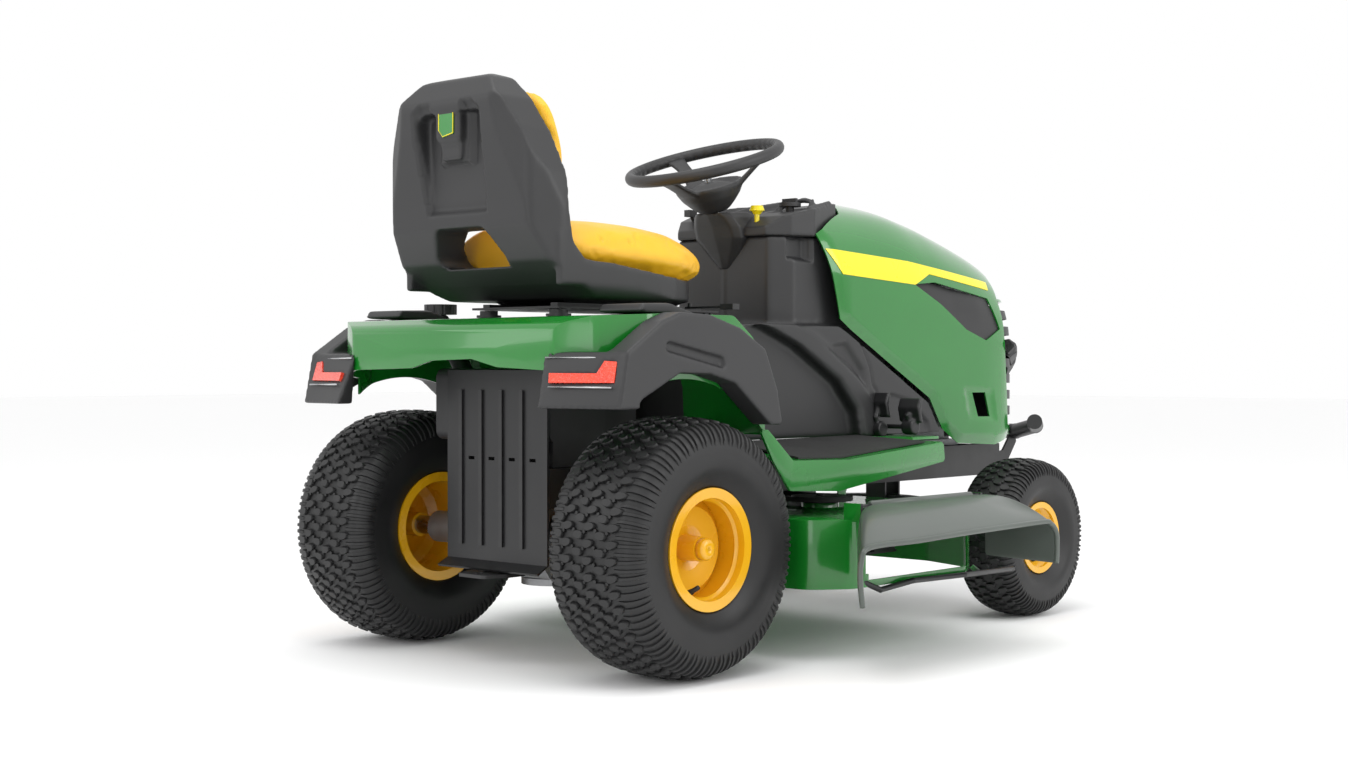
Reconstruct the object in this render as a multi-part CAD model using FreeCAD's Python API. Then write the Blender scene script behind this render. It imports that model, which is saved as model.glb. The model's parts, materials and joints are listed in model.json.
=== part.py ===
import FreeCAD, Part
import math
import os

V = FreeCAD.Vector

# Riding lawn mower. Millimetres. The machine faces -Y, the operator's right is -X and up is +Z.
# The origin is on the ground, under the middle of the rear axle.

# Driving dimensions
WHEELBASE = 1242.0
REAR_TYRE_R = 254.0
REAR_TYRE_WIDTH = 238.0
REAR_TYRE_X = 392.6
REAR_RIM_R = 118.8
REAR_RIM_HALF = 98.7
FRONT_TYRE_R = 190.5
FRONT_TYRE_WIDTH = 150.0
FRONT_TYRE_X = 410.0
FRONT_RIM_R = 86.0
FRONT_RIM_HALF = 56.7
KINGPIN_X = 318.0
STEER_ARM = 100.0
REAR_SHAFT_R = 9.5
FRONT_SHAFT_R = 9.5
RUNNING = 0.05          # radial clearance of a shaft that turns in its bore
GAP = 1.0               # space left between pieces that are bolted together

RAIL_X = 150.0          # outer face of each frame rail
RAIL_BOTTOM = 320.0
RAIL_TOP = 400.0
RAIL_REAR = 100.0
RAIL_FRONT = -1560.0
SHEET = 4.0             # wall of rails, deck and hood

FENDER_TOP = 706.0
FENDER_HALF = 420.0
TRIM_HALF = 474.0
WHEEL_ARCH_R = 318.0
BOARD_HALF = 430.0
TUNNEL_HALF = 195.0
TUNNEL_TOP = 698.0
PEDESTAL_REAR = -608.0
PEDESTAL_TOP = 902.0

HOOD_HALF = 232.0
HOOD_FRONT = -1640.0
HOOD_PIVOT_Y = -1600.0
HOOD_PIVOT_Z = 470.0

STEER_CENTRE = V(0, -541, 1073)
STEER_TILT = 18.4       # degrees that the wheel leans towards the seat
STEER_RIM_R = 174.0
STEER_TUBE_R = 14.0

SEAT_HALF = 235.0
SEAT_PIVOT_Y = -455.0
SEAT_PIVOT_Z = 718.0

DECK_HALF = 540.0
DECK_REAR = -305.0
DECK_FRONT = -955.0
DECK_BOTTOM = 148.0
DECK_TOP = 290.0
BLADE_X = 266.0
BLADE_Y = -632.0
BLADE_R = 256.0
CHUTE_PIVOT_X = -552.0
CHUTE_PIVOT_Z = 318.0
CHUTE_LIP_X = -742.0
HITCH_Y = 150.0         # hole in the rear hitch plate
HITCH_HOLE_R = 8.0
FUEL_CAP_X = 330.0      # filler cap beside the seat
FUEL_CAP_Y = -30.0
PEDAL_SHAFT_R = 6.0     # cross shafts that the pedals turn on
PEDAL_SHAFTS = [(-900.0, 456.0), (-934.0, 462.0)]
KNOB_X = -88.0          # blade switch knob on the dash
KNOB_Y = -624.0
LEVER_X = 124.0         # throttle lever
DIAL_X = -112.0         # cutting-height dial
DIAL_Y = -715.0
SECTOR_X = 62.0         # upright pin of the steering sector
SECTOR_Y = -1050.0


# ---------------------------------------------------------------- shared shapes

def box(x0, x1, y0, y1, z0, z1):
    return Part.makeBox(x1 - x0, y1 - y0, z1 - z0, V(x0, y0, z0))


def rod(start, end, r):
    """Round bar between two points."""
    return Part.makeCylinder(r, (end - start).Length, start, end - start)


def bent_rod(points, r):
    """Round bar through several points, with a slightly swollen ball at each bend."""
    shape = rod(points[0], points[1], r)
    for a, b in zip(points[1:], points[2:]):
        shape = shape.fuse(Part.makeSphere(r * 1.06, a)).fuse(rod(a, b, r))
    return shape.removeSplitter()


def ring(outer, inner, x0, x1, y=0.0, z=0.0):
    """Tube along X."""
    tube = Part.makeCylinder(outer, x1 - x0, V(x0, y, z), V(1, 0, 0))
    return tube.cut(Part.makeCylinder(inner, x1 - x0 + 2, V(x0 - 1, y, z), V(1, 0, 0)))


def closed_wire(points, radius=0.0):
    """Polygon whose corners are rounded by tangent arcs. A point may carry its own radius last."""
    edges = []
    starts = []
    ends = []
    count = len(points)
    for i, here in enumerate(points):
        before = points[i - 1]
        after = points[(i + 1) % count]
        to_before = (before - here).normalize()
        to_after = (after - here).normalize()
        half = to_before.getAngle(to_after) / 2
        room = 0.45 * min((before - here).Length, (after - here).Length)
        cut = min(radius / math.tan(half), room) if radius > 0 else 0.0
        if cut < 0.05 or half > 1.55:
            starts.append(here)
            ends.append(here)
            edges.append(None)
            continue
        p0 = here + to_before * cut
        p1 = here + to_after * cut
        arc_r = cut * math.tan(half)
        middle = here + (to_before + to_after).normalize() * (arc_r / math.sin(half) - arc_r)
        starts.append(p0)
        ends.append(p1)
        edges.append(Part.Arc(p0, middle, p1).toShape())
    path = []
    for i in range(count):
        if edges[i] is not None:
            path.append(edges[i])
        if (starts[(i + 1) % count] - ends[i]).Length > 0.01:
            path.append(Part.LineSegment(ends[i], starts[(i + 1) % count]).toShape())
    return Part.Wire(path)


def side_block(yz, x0, x1, radius=0.0):
    """Outline in the side view, as (y, z) pairs, extruded across the machine."""
    wire = closed_wire([V(x0, y, z) for y, z in yz], radius)
    return Part.Face(wire).extrude(V(x1 - x0, 0, 0))


def front_block(xz, y0, y1, radius=0.0):
    """Outline in the front view, as (x, z) pairs, extruded along the machine."""
    wire = closed_wire([V(x, y0, z) for x, z in xz], radius)
    return Part.Face(wire).extrude(V(0, y1 - y0, 0))


def plan_block(xy, z0, z1, radius=0.0):
    """Outline in the plan view, as (x, y) pairs, extruded upwards."""
    wire = closed_wire([V(x, y, z0) for x, y in xy], radius)
    return Part.Face(wire).extrude(V(0, 0, z1 - z0))


def both_sides(half):
    """Completes a symmetric outline given as its -X half, ending on the middle plane."""
    return half + [(-x, y) for x, y in reversed(half) if abs(x) > 0.01]


def mirrored(shape):
    """The same piece for the operator's left side."""
    return shape.mirror(V(0, 0, 0), V(1, 0, 0))


def pair(shape):
    """Right and left pieces as separate solids."""
    return Part.makeCompound([shape, mirrored(shape)])


def all_of(first, *others):
    """One solid from touching pieces."""
    return first.fuse(list(others)).removeSplitter()


def less(shape, *tools):
    for tool in tools:
        shape = shape.cut(tool)
    return shape


def revolved(profile, x, z, y=0.0):
    """Turns an outline of (along the axle, radius) pairs and arcs around the axle line."""
    edges = []
    for piece in profile:
        points = [V(x + a, y, z + r) for a, r in piece]
        if len(points) == 3:
            edges.append(Part.Arc(*points).toShape())
        else:
            edges.append(Part.LineSegment(*points).toShape())
    face = Part.Face(Part.Wire(edges))
    return face.revolve(V(x, y, z), V(1, 0, 0), 360)


def save(node, shape):
    """Writes one sub-part."""
    solids = [s for s in shape.Solids]
    shape = solids[0] if len(solids) == 1 else Part.makeCompound(solids)
    shape.exportStep("parts/%s.step" % node)


# ---------------------------------------------------------------- chassis

def frame_rails():
    """Two pressed channels with cross members, the axle pivot plate and the hood's hinge ears."""
    flange = 40
    rail = box(-RAIL_X, -RAIL_X + SHEET, RAIL_FRONT, RAIL_REAR, RAIL_BOTTOM, RAIL_TOP)
    top = box(-RAIL_X, -RAIL_X + flange, RAIL_FRONT, RAIL_REAR, RAIL_TOP - SHEET, RAIL_TOP)
    bottom = box(-RAIL_X, -RAIL_X + flange, RAIL_FRONT, RAIL_REAR, RAIL_BOTTOM, RAIL_BOTTOM + SHEET)
    rail = all_of(rail, top, bottom)
    inner = RAIL_X - SHEET
    cross = []
    for y in (RAIL_FRONT, -820.0, RAIL_REAR - SHEET):
        cross.append(box(-inner, inner, y, y + SHEET, RAIL_BOTTOM + SHEET, RAIL_TOP - SHEET))
    pivot_tab = box(-30, 30, -WHEELBASE - 33, -WHEELBASE - 27, 226, RAIL_BOTTOM + SHEET)
    pivot_rear = box(-30, 30, -WHEELBASE + 27, -WHEELBASE + 33, 226, RAIL_BOTTOM + SHEET)
    pivot_bar = box(-inner, inner, -WHEELBASE - 33, -WHEELBASE + 33, RAIL_BOTTOM, RAIL_BOTTOM + SHEET)
    pin = rod(V(0, -WHEELBASE - 40, 244), V(0, -WHEELBASE + 40, 244), 9.5)
    ear = side_block([(RAIL_FRONT, 330), (RAIL_FRONT, 396), (HOOD_PIVOT_Y + 12, 488),
                      (HOOD_PIVOT_Y - 12, 488), (HOOD_PIVOT_Y - 12, 462), (HOOD_PIVOT_Y + 12, 438),
                      (HOOD_PIVOT_Y + 22, 380), (HOOD_PIVOT_Y + 22, 330)], -104, -98)
    hinge_pin = rod(V(-117, HOOD_PIVOT_Y, HOOD_PIVOT_Z), V(-96, HOOD_PIVOT_Y, HOOD_PIVOT_Z), 6)
    ear = ear.fuse(hinge_pin)
    return all_of(rail, mirrored(rail), *cross, pivot_tab, pivot_rear, pivot_bar, pin,
                  ear, mirrored(ear))


def rear_plate():
    """Pressed back plate with four upright ribs, four slots and a lip kicked back at the foot."""
    front = RAIL_REAR + GAP
    plate = box(-150, 150, front, front + 5, 206, 597)
    lip = side_block([(front, 206), (front + 5, 206), (front + 33, 192), (front + 30, 188)], -150, 150)
    plate = plate.fuse(lip)
    for x in (-78, -17, 44, 105):
        rib = box(x - 5, x + 5, front + 5, front + 10, 236, 556)
        plate = plate.fuse(rib)
    for x in (-108, -47, 14, 75):
        slot = box(x - 9, x + 9, front - 5, front + 12, 412, 419)
        plate = plate.cut(slot)
    return plate.removeSplitter()


def hitch_plate():
    """Flat draw plate under the back plate, with one pin hole."""
    plate = plan_block([(-60, 74), (-60, 130), (-38, 176), (38, 176), (60, 130), (60, 74)], 178, 185, 12)
    hole = rod(V(0, HITCH_Y, 170), V(0, HITCH_Y, 195), HITCH_HOLE_R)
    hanger = box(-60, 60, 80, 86, 184, RAIL_BOTTOM - GAP)
    return all_of(plate, hanger).cut(hole)


def transaxle():
    """Hydrostatic gearbox with one axle tube to each side."""
    case = side_block([(-120, 200), (-120, 300), (-60, 318), (45, 318), (70, 290), (70, 210), (40, 168),
                       (-60, 168)], -92, 92, 18)
    tube = ring(34, 11, 91, 300, 0, REAR_TYRE_R)
    flange = ring(52, 11, 91, 104, 0, REAR_TYRE_R)
    bore = rod(V(-95, 0, REAR_TYRE_R), V(95, 0, REAR_TYRE_R), 11)
    fan = Part.makeCylinder(70, 14, V(0, -60, 148), V(0, 0, 1))
    stem = Part.makeCylinder(16, 10, V(0, -60, 160), V(0, 0, 1))
    return all_of(case.cut(bore), tube, flange, mirrored(tube), mirrored(flange), fan, stem)


def engine_block():
    """Crankcase on the rails with two finned cylinders set in a V."""
    base = box(-125, 125, -1400, -1130, RAIL_TOP + GAP, 416)
    case = box(-95, 95, -1380, -1150, 416, 600)
    engine = base.fuse(case)
    for side in (-1, 1):
        for fin in range(6):
            x = side * (100 + fin * 13)
            plate = box(min(x, x + side * 6), max(x, x + side * 6), -1345, -1185, 450, 580)
            engine = engine.fuse(plate)
        barrel = box(min(side * 90, side * 190), max(side * 90, side * 190), -1330, -1200, 462, 568)
        engine = engine.fuse(barrel)
    return engine.removeSplitter()


def engine_shroud():
    """Blower housing over the flywheel, with a round screened inlet on top."""
    drum = Part.makeCylinder(150, 70, V(0, -1265, 600 + GAP), V(0, 0, 1))
    neck = Part.makeCylinder(92, 34, V(0, -1265, 670), V(0, 0, 1))
    inlet = Part.makeCylinder(80, 30, V(0, -1265, 680), V(0, 0, 1))
    filter_box = box(-80, 80, -1130, -1050, 610, 700)
    bridge = box(-60, 60, -1180, -1110, 620, 665)
    shroud = all_of(drum, neck, filter_box, bridge).cut(inlet)
    for turn in range(0, 180, 30):
        bar = box(-85, 85, -2, 2, 694, 698)
        bar.rotate(V(0, 0, 0), V(0, 0, 1), turn)
        bar.translate(V(0, -1265, 0))
        shroud = shroud.fuse(bar)
    return shroud.removeSplitter()


def muffler():
    """Sheet steel can across the front of the engine, with two inlet pipes."""
    can = Part.makeCylinder(52, 250, V(-125, -1475, 500), V(1, 0, 0))
    pipe = rod(V(-70, -1475, 500), V(-70, -1381, 500), 14)
    outlet = rod(V(100, -1475, 500), V(100, -1475, 425), 14)
    return all_of(can, pipe, mirrored(pipe), outlet)


def battery():
    case = box(-95, 95, -210, -85, RAIL_TOP + GAP, 555)
    post = Part.makeCylinder(9, 16, V(-60, -110, 555), V(0, 0, 1))
    tray = box(-148, 148, -214, -80, RAIL_TOP + GAP, RAIL_TOP + 5)
    return all_of(case, post, mirrored(post), tray)


def fuel_tank():
    """Moulded tank between the rear wheels, with a filler neck that comes up through the fender."""
    tank = side_block([(-70, 450), (-70, 600), (90, 600), (90, 450)], -140, 205, 20)
    neck = rod(V(190, 10, 570), V(FUEL_CAP_X, FUEL_CAP_Y, FENDER_TOP - 2), 20)
    feet = box(-140, 145, -60, 80, RAIL_TOP + GAP, 455)
    return all_of(tank, neck, feet)


def fuel_cap():
    """Ribbed screw cap on the filler neck."""
    cap = Part.makeCylinder(36, 22, V(FUEL_CAP_X, FUEL_CAP_Y, FENDER_TOP + 13), V(0, 0, 1))
    for turn in range(0, 360, 30):
        groove = Part.makeCylinder(4, 40, V(FUEL_CAP_X + 38, FUEL_CAP_Y, FENDER_TOP + 5), V(0, 0, 1))
        groove.rotate(V(FUEL_CAP_X, FUEL_CAP_Y, 0), V(0, 0, 1), turn)
        cap = cap.cut(groove)
    return cap


def fender_outline(inset):
    """Side view of the one-piece fender: back skirt, flat top, and the front wall down to the floor."""
    return [(246 - inset, 560), (250 - inset, 640), (232 - inset, 686 - inset), (196, 700 - inset),
            (60, FENDER_TOP - inset), (-150, FENDER_TOP - inset), (-214 + inset, 660 - inset),
            (-243 + inset, 560), (-250 + inset, 440), (-200, 300), (200, 300)]


def wheel_arches(radius):
    """The space that both rear wheels need under the fender."""
    return Part.makeCylinder(radius, 2000, V(-1000, 0, REAR_TYRE_R), V(1, 0, 0))


def fender_deck():
    """Green moulded body over the rear wheels, open below, that carries the seat."""
    half = FENDER_HALF
    plan = both_sides([(-half, -300), (-half, 96), (-372, 196), (-300, 238), (-120, 252)])
    outer = side_block(fender_outline(0), -half, half, 30)
    outer = outer.common(plan_block(plan, 280, 800, 40))
    inner = side_block(fender_outline(5), -half + 5, half - 5, 26)
    inner_plan = both_sides([(-half + 5, -300), (-half + 5, 92), (-368, 190), (-297, 233), (-118, 247)])
    inner = inner.common(plan_block(inner_plan, 270, 800, 36))
    wave = front_block([(-500, 200), (-500, 560), (-330, 590), (-282, 597), (-157, 603), (-85, 619),
                        (35, 616), (97, 601), (176, 599), (282, 597), (330, 590), (500, 560), (500, 200)],
                       150, 300, 30)
    shell = less(outer, inner, wave, wheel_arches(WHEEL_ARCH_R + 8))
    middle = box(-200, 200, -240, 160, 200, 640)
    floor_clear = box(-half - 5, half + 5, -300, 300, 200, 436)
    shell = less(shell, middle.common(inner), floor_clear)
    tunnel = box(-TUNNEL_HALF - 8, TUNNEL_HALF + 8, -300, -228, 200, 690)
    filler = rod(V(190, 10, 570), V(FUEL_CAP_X, FUEL_CAP_Y, FENDER_TOP + 8), 24)
    shell = less(shell, tunnel, filler)
    return max(shell.Solids, key=lambda solid: solid.Volume)


def trim_outline():
    """Side view of the black fender trim: tail-lamp pod, arch band and the knee of the front leg."""
    return [(234, 525), (206, 527), (66, 592), (-20, 589), (-94, 571), (-202, 488), (-240, 487),
            (-224, 558), (-186, 639), (-109, 680), (-20, 704), (66, 708), (120, 690), (213, 631)]


def lamp_pod():
    """Tail-lamp pod: its back face leans forward and is angled outwards."""
    low = [V(-TRIM_HALF, 234, 525), V(-300, 278, 526), V(-300, 215, 526), V(-TRIM_HALF, 180, 525)]
    high = [V(-456, 213, 631), V(-284, 242, 632), V(-284, 180, 632), V(-456, 150, 631)]
    low_wire = Part.makePolygon(low + low[:1])
    high_wire = Part.makePolygon(high + high[:1])
    return Part.makeLoft([low_wire, high_wire], True, True)


def lens_cutter(outwards):
    """Space of one tick-shaped lens: a low bar that rises at its outer end."""
    back = [V(-315, 261, 574), V(-452, 226, 574), V(-450, 219, 614), V(-424, 226, 616),
            V(-412, 233, 592), V(-312, 257, 592)]
    normal = V(-0.235, 0.93, 0.28)
    start = [point - normal * 9 for point in back]
    plane_face = Part.Face(Part.makePolygon(flattened(start, normal) + flattened(start, normal)[:1]))
    return plane_face.extrude(normal * outwards)


def flattened(points, normal):
    """Moves points along the normal until they share one plane."""
    unit = V(normal).normalize()
    level = sum(point.dot(unit) for point in points) / len(points)
    return [point + unit * (level - point.dot(unit)) for point in points]


def fender_trim_right():
    band = side_block(trim_outline(), -TRIM_HALF, -FENDER_HALF - GAP, 8)
    slot = side_block([(109, 634), (-63, 600), (-58, 622), (104, 652)], -TRIM_HALF - 1, -TRIM_HALF + 10, 4)
    pod = lamp_pod()
    inside_fender = plan_block([(-FENDER_HALF - GAP, -400), (-FENDER_HALF - GAP, 97), (-373, 197.5),
                                (-300.5, 239.5), (-120, 253.5), (0, 253.5), (0, -400)], 400, 800, 40)
    trim = all_of(band, pod.cut(inside_fender))
    trim = less(trim, slot, lens_cutter(30))
    return max(trim.Solids, key=lambda solid: solid.Volume)


def tail_lens_right():
    return lens_cutter(8.6)


def seat_springs():
    """Two rubber-and-coil supports on the fender, under the back of the seat plate."""
    springs = []
    for x in (-105, 105):
        foot = Part.makeCylinder(26, 5, V(x, 30, FENDER_TOP + GAP), V(0, 0, 1))
        body = Part.makeCylinder(19, 9, V(x, 30, FENDER_TOP + GAP + 5), V(0, 0, 1))
        springs.append(foot.fuse(body))
    return Part.makeCompound(springs)


def board_skirt():
    """Side view of the green step band."""
    return [(-222, 476), (-262, 412), (-318, 348), (-485, 339), (-885, 388), (-879, 432), (-521, 405),
            (-328, 410), (-246, 476)]


def sloped_sheet(outer_yz, inner_yz, x_outer, x_inner):
    """Sheet that changes height evenly from its outer edge to its inner edge."""
    outer = [V(x_outer, y, z) for y, z in outer_yz]
    inner = [V(x_inner, y, z) for y, z in inner_yz]
    return Part.makeLoft([Part.makePolygon(outer + outer[:1]), Part.makePolygon(inner + inner[:1])], True, True)


def running_board_right():
    """Green step: a sloping floor with a deep outer band that sweeps up to the fender."""
    outer = side_block(board_skirt(), -BOARD_HALF, -BOARD_HALF + 6, 10)
    floor = sloped_sheet([(-328, 410), (-521, 405), (-879, 432), (-879, 426), (-521, 399), (-328, 404)],
                         [(-268, 440), (-521, 438), (-879, 440), (-879, 434), (-521, 432), (-268, 434)],
                         -BOARD_HALF + 5, -RAIL_X - 6)
    toe = box(-345, -RAIL_X - 6, -985, -878, 434, 440)
    hanger = box(-RAIL_X - 60, -RAIL_X - GAP, -700, -640, RAIL_TOP - 30, RAIL_TOP + 3)
    web = box(-RAIL_X - 60, -RAIL_X - 54, -700, -640, RAIL_TOP, 434)
    return all_of(outer, floor, toe, hanger, web)


def floor_mat_right():
    """Ribbed rubber mat that lies on the step."""
    return sloped_sheet([(-372, 411), (-521, 407.5), (-836, 431), (-836, 435), (-521, 411.5), (-372, 415)],
                        [(-372, 439.5), (-521, 438.5), (-836, 440.5), (-836, 444), (-521, 442), (-372, 443)],
                        -BOARD_HALF + 22, -TUNNEL_HALF - 20)


# ---------------------------------------------------------------- pedestal and dash


def steering_point(distance):
    """Point on the steering axis, this far below the wheel's centre."""
    angle = math.radians(STEER_TILT)
    return STEER_CENTRE - V(0, math.sin(angle), math.cos(angle)) * distance


def inset_block(block_points, x0, x1, by):
    """Side-view block whose outline is moved inwards all round."""
    wire = closed_wire([V(x0, y, z) for y, z in block_points], 12)
    return Part.Face(wire.makeOffset2D(-by)).extrude(V(x1 - x0, 0, 0))


def pedestal():
    """Moulded centre tunnel, leg shields and upright column in one hollow piece."""
    column_plan = both_sides([(-186, -1000), (-186, -745), (-172, -655), (-136, -602)])
    column = plan_block(column_plan, 660, PEDESTAL_TOP, 12)
    column_inner_plan = both_sides([(-182, -1010), (-182, -746), (-168.5, -657), (-134, -606)])
    column_inner = plan_block(column_inner_plan, 640, PEDESTAL_TOP - SHEET, 10)
    tunnel_side = [(-258, 441), (-258, 655), (-300, TUNNEL_TOP), (-1000, TUNNEL_TOP), (-1000, 441)]
    tunnel = side_block(tunnel_side, -TUNNEL_HALF, TUNNEL_HALF, 12)
    tunnel_inner = side_block([(-262, 400), (-262, 653), (-302, TUNNEL_TOP - SHEET), (-1010, TUNNEL_TOP - SHEET),
                               (-1010, 400)], -TUNNEL_HALF + SHEET, TUNNEL_HALF - SHEET, 10)
    flare_side = [(-480, 697), (-606, 652), (-755, 572), (-825, 502), (-841, 441), (-1172, 441),
                  (-1170, 452), (-1121, 518), (-800, 680), (-763, 697)]
    flare = side_block(flare_side, -226, 226, 12)
    flare_inner = inset_block(flare_side, -222, 222, SHEET)
    open_foot = box(-222, 222, -1165, -846, 400, 447)
    shape = all_of(column, tunnel, flare)
    shape = less(shape, column_inner, tunnel_inner, flare_inner, open_foot)
    shape = less(shape, rod(steering_point(60), steering_point(420), 24))
    shape = less(shape, box(-190, 190, -1300, -1012, 300, 900))
    pocket_walls = box(-181, -142, -716, -636, 842, PEDESTAL_TOP).common(column)
    pocket = box(-190, -146, -712, -640, 846, PEDESTAL_TOP - SHEET)
    pedal_holes = [rod(V(-240, y, z), V(240, y, z), PEDAL_SHAFT_R + 0.5) for y, z in PEDAL_SHAFTS]
    lugs = []
    for side in (-1, 1):
        lugs.append(box(side * 74 - 4, side * 74 + 4, SEAT_PIVOT_Y - 14, SEAT_PIVOT_Y + 14, TUNNEL_TOP - 1,
                        SEAT_PIVOT_Z + 6))
    pin = rod(V(-94, SEAT_PIVOT_Y, SEAT_PIVOT_Z), V(94, SEAT_PIVOT_Y, SEAT_PIVOT_Z), 5)
    shape = all_of(less(shape.fuse(pocket_walls), pocket, *pedal_holes), *lugs, pin)
    return max(shape.Solids, key=lambda solid: solid.Volume)


def dash_console():
    """Dash top: it rises towards the hood, with a raised brow round the height dial."""
    side = [(-596, PEDESTAL_TOP + GAP), (-596, 925), (-640, 952), (-700, 966), (-866, 992), (-1000, 1000),
            (-1000, PEDESTAL_TOP + GAP)]
    plan = both_sides([(-6, -990), (-146, -846), (-192, -706), (-170, -650), (-134, -598)])
    shell = side_block(side, -200, 200, 10).common(plan_block(plan, 850, 1010, 8))
    inner_side = [(-601, PEDESTAL_TOP), (-601, 921), (-642, 947), (-702, 961), (-866, 987), (-992, 995),
                  (-992, PEDESTAL_TOP)]
    inner_plan = both_sides([(-6, -982), (-141, -843), (-187, -706), (-166, -653), (-132, -602)])
    inner = side_block(inner_side, -196, 196, 8).common(plan_block(inner_plan, 840, 1010, 6))
    shaft_hole = rod(steering_point(60), steering_point(420), 24)
    dial_hole = rod(V(DIAL_X, DIAL_Y, 900), V(DIAL_X, DIAL_Y, 1010), 11)
    knob_hole = rod(V(KNOB_X, KNOB_Y, 900), V(KNOB_X, KNOB_Y, 1010), 7)
    lever_slot = box(LEVER_X - 7, LEVER_X + 7, -704, -612, 900, 1010)
    brow = Part.makeTorus(52, 6, V(-112, -728, 972), V(0, 0.35, 1), 0, 360, 180)
    brow.rotate(V(-112, -728, 972), V(0, 0, 1), 180)
    shell = less(shell, inner, shaft_hole, dial_hole, knob_hole, lever_slot).fuse(brow)
    return max(shell.Solids, key=lambda solid: solid.Volume)


def column_collar():
    """Tapered boot round the steering shaft."""
    top = steering_point(124)
    foot = steering_point(178)
    outer = Part.makeCone(74, 50, (top - foot).Length, foot, top - foot)
    bore = rod(steering_point(100), steering_point(240), 12)
    dash_top = side_block([(-400, 800), (-400, 926), (-596, 926), (-640, 953), (-700, 967), (-800, 983),
                           (-800, 800)], -200, 200)
    return less(outer, bore, dash_top)


def front_bumper():
    """Bent tube bar on two brackets that are bolted to the ends of the rails."""
    bar = bent_rod([V(-238, -1592, 458), V(-205, -1650, 446), V(-120, -1692, 428), V(120, -1692, 428),
                    V(205, -1650, 446), V(238, -1592, 458)], 20)
    bracket = side_block([(RAIL_FRONT - GAP, 326), (RAIL_FRONT - GAP, 362), (-1640, 378), (-1676, 418),
                          (-1700, 418), (-1706, 400), (-1660, 345), (-1600, 326)], -112, -106, 6)
    plate = box(-144, -106, RAIL_FRONT - GAP - 5, RAIL_FRONT - GAP, 326, 362)
    return all_of(bar, bracket, plate, mirrored(bracket), mirrored(plate))


# ---------------------------------------------------------------- wheels and front axle

def tyre(x, z, radius, half_width, bead_r, flange_r, rim_half, wall):
    """Low-pressure turf tyre: a hollow round-shouldered carcass on the bead seats of its rim."""
    shoulder_r = radius - 0.10 * radius
    sidewall_r = (radius + bead_r) / 2 - 6
    outer = [
        [(-rim_half + 6, bead_r), (-rim_half + 6, flange_r + 2)],
        [(-rim_half + 6, flange_r + 2), (-half_width, sidewall_r)],
        [(-half_width, sidewall_r), (-half_width + 3, (sidewall_r + shoulder_r) / 2), (-half_width + 14, shoulder_r)],
        [(-half_width + 14, shoulder_r), (-half_width + 32, radius - 7), (-half_width + 58, radius - 1.5)],
        [(-half_width + 58, radius - 1.5), (0, radius), (half_width - 58, radius - 1.5)],
        [(half_width - 58, radius - 1.5), (half_width - 32, radius - 7), (half_width - 14, shoulder_r)],
        [(half_width - 14, shoulder_r), (half_width - 3, (sidewall_r + shoulder_r) / 2), (half_width, sidewall_r)],
        [(half_width, sidewall_r), (rim_half - 6, flange_r + 2)],
        [(rim_half - 6, flange_r + 2), (rim_half - 6, bead_r)],
    ]
    inner = [
        [(rim_half - 6, bead_r), (rim_half - 6 - wall * 1.6, bead_r)],
        [(rim_half - 6 - wall * 1.6, bead_r), (half_width - wall, sidewall_r)],
        [(half_width - wall, sidewall_r), (half_width - 24, shoulder_r - wall * 0.5)],
        [(half_width - 24, shoulder_r - wall * 0.5), (half_width - 58, radius - wall * 1.5)],
        [(half_width - 58, radius - wall * 1.5), (58 - half_width, radius - wall * 1.5)],
        [(58 - half_width, radius - wall * 1.5), (24 - half_width, shoulder_r - wall * 0.5)],
        [(24 - half_width, shoulder_r - wall * 0.5), (wall - half_width, sidewall_r)],
        [(wall - half_width, sidewall_r), (6 + wall * 1.6 - rim_half, bead_r)],
        [(6 + wall * 1.6 - rim_half, bead_r), (6 - rim_half, bead_r)],
    ]
    return revolved(outer + inner, x, z)


def outline(points):
    """Straight sides through (along the axle, radius) points, closed."""
    return [[a, b] for a, b in zip(points, points[1:] + points[:1])]


def rim(x, z, side, half, flange_r, seat_r, disc_at, hub_r, bore_r, hub_from, hub_to):
    """Pressed steel wheel: rolled flanges, drop barrel, dished disc and hub. side is -1 on the right."""
    s = side
    barrel = [(-half * s, flange_r), ((-half + 4) * s, flange_r), ((-half + 4) * s, seat_r),
              ((half - 4) * s, seat_r), ((half - 4) * s, flange_r), (half * s, flange_r),
              (half * s, flange_r - 3), ((half - 1) * s, seat_r - 4), ((disc_at + 6) * s, seat_r - 4),
              ((disc_at + 20) * s, seat_r - 22), ((disc_at + 12) * s, hub_r + 18),
              ((disc_at + 4) * s, hub_r), (hub_to * s, hub_r - 2), (hub_to * s, bore_r),
              (hub_from * s, bore_r), (hub_from * s, hub_r), ((disc_at - 2) * s, hub_r),
              ((disc_at + 6) * s, hub_r + 20), ((disc_at + 14) * s, seat_r - 22),
              (disc_at * s, seat_r - 4), ((1 - half) * s, seat_r - 4), (-half * s, flange_r - 3)]
    return revolved(outline(barrel), x, z)


def rear_tyre(side):
    return tyre(side * REAR_TYRE_X, REAR_TYRE_R, REAR_TYRE_R, REAR_TYRE_WIDTH / 2, 103.5, REAR_RIM_R,
                REAR_RIM_HALF, 12)


def rear_rim(side):
    return rim(side * REAR_TYRE_X, REAR_TYRE_R, side, REAR_RIM_HALF, REAR_RIM_R, 103, 26, 26,
               REAR_SHAFT_R + 0.05, -30, 74)


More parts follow.
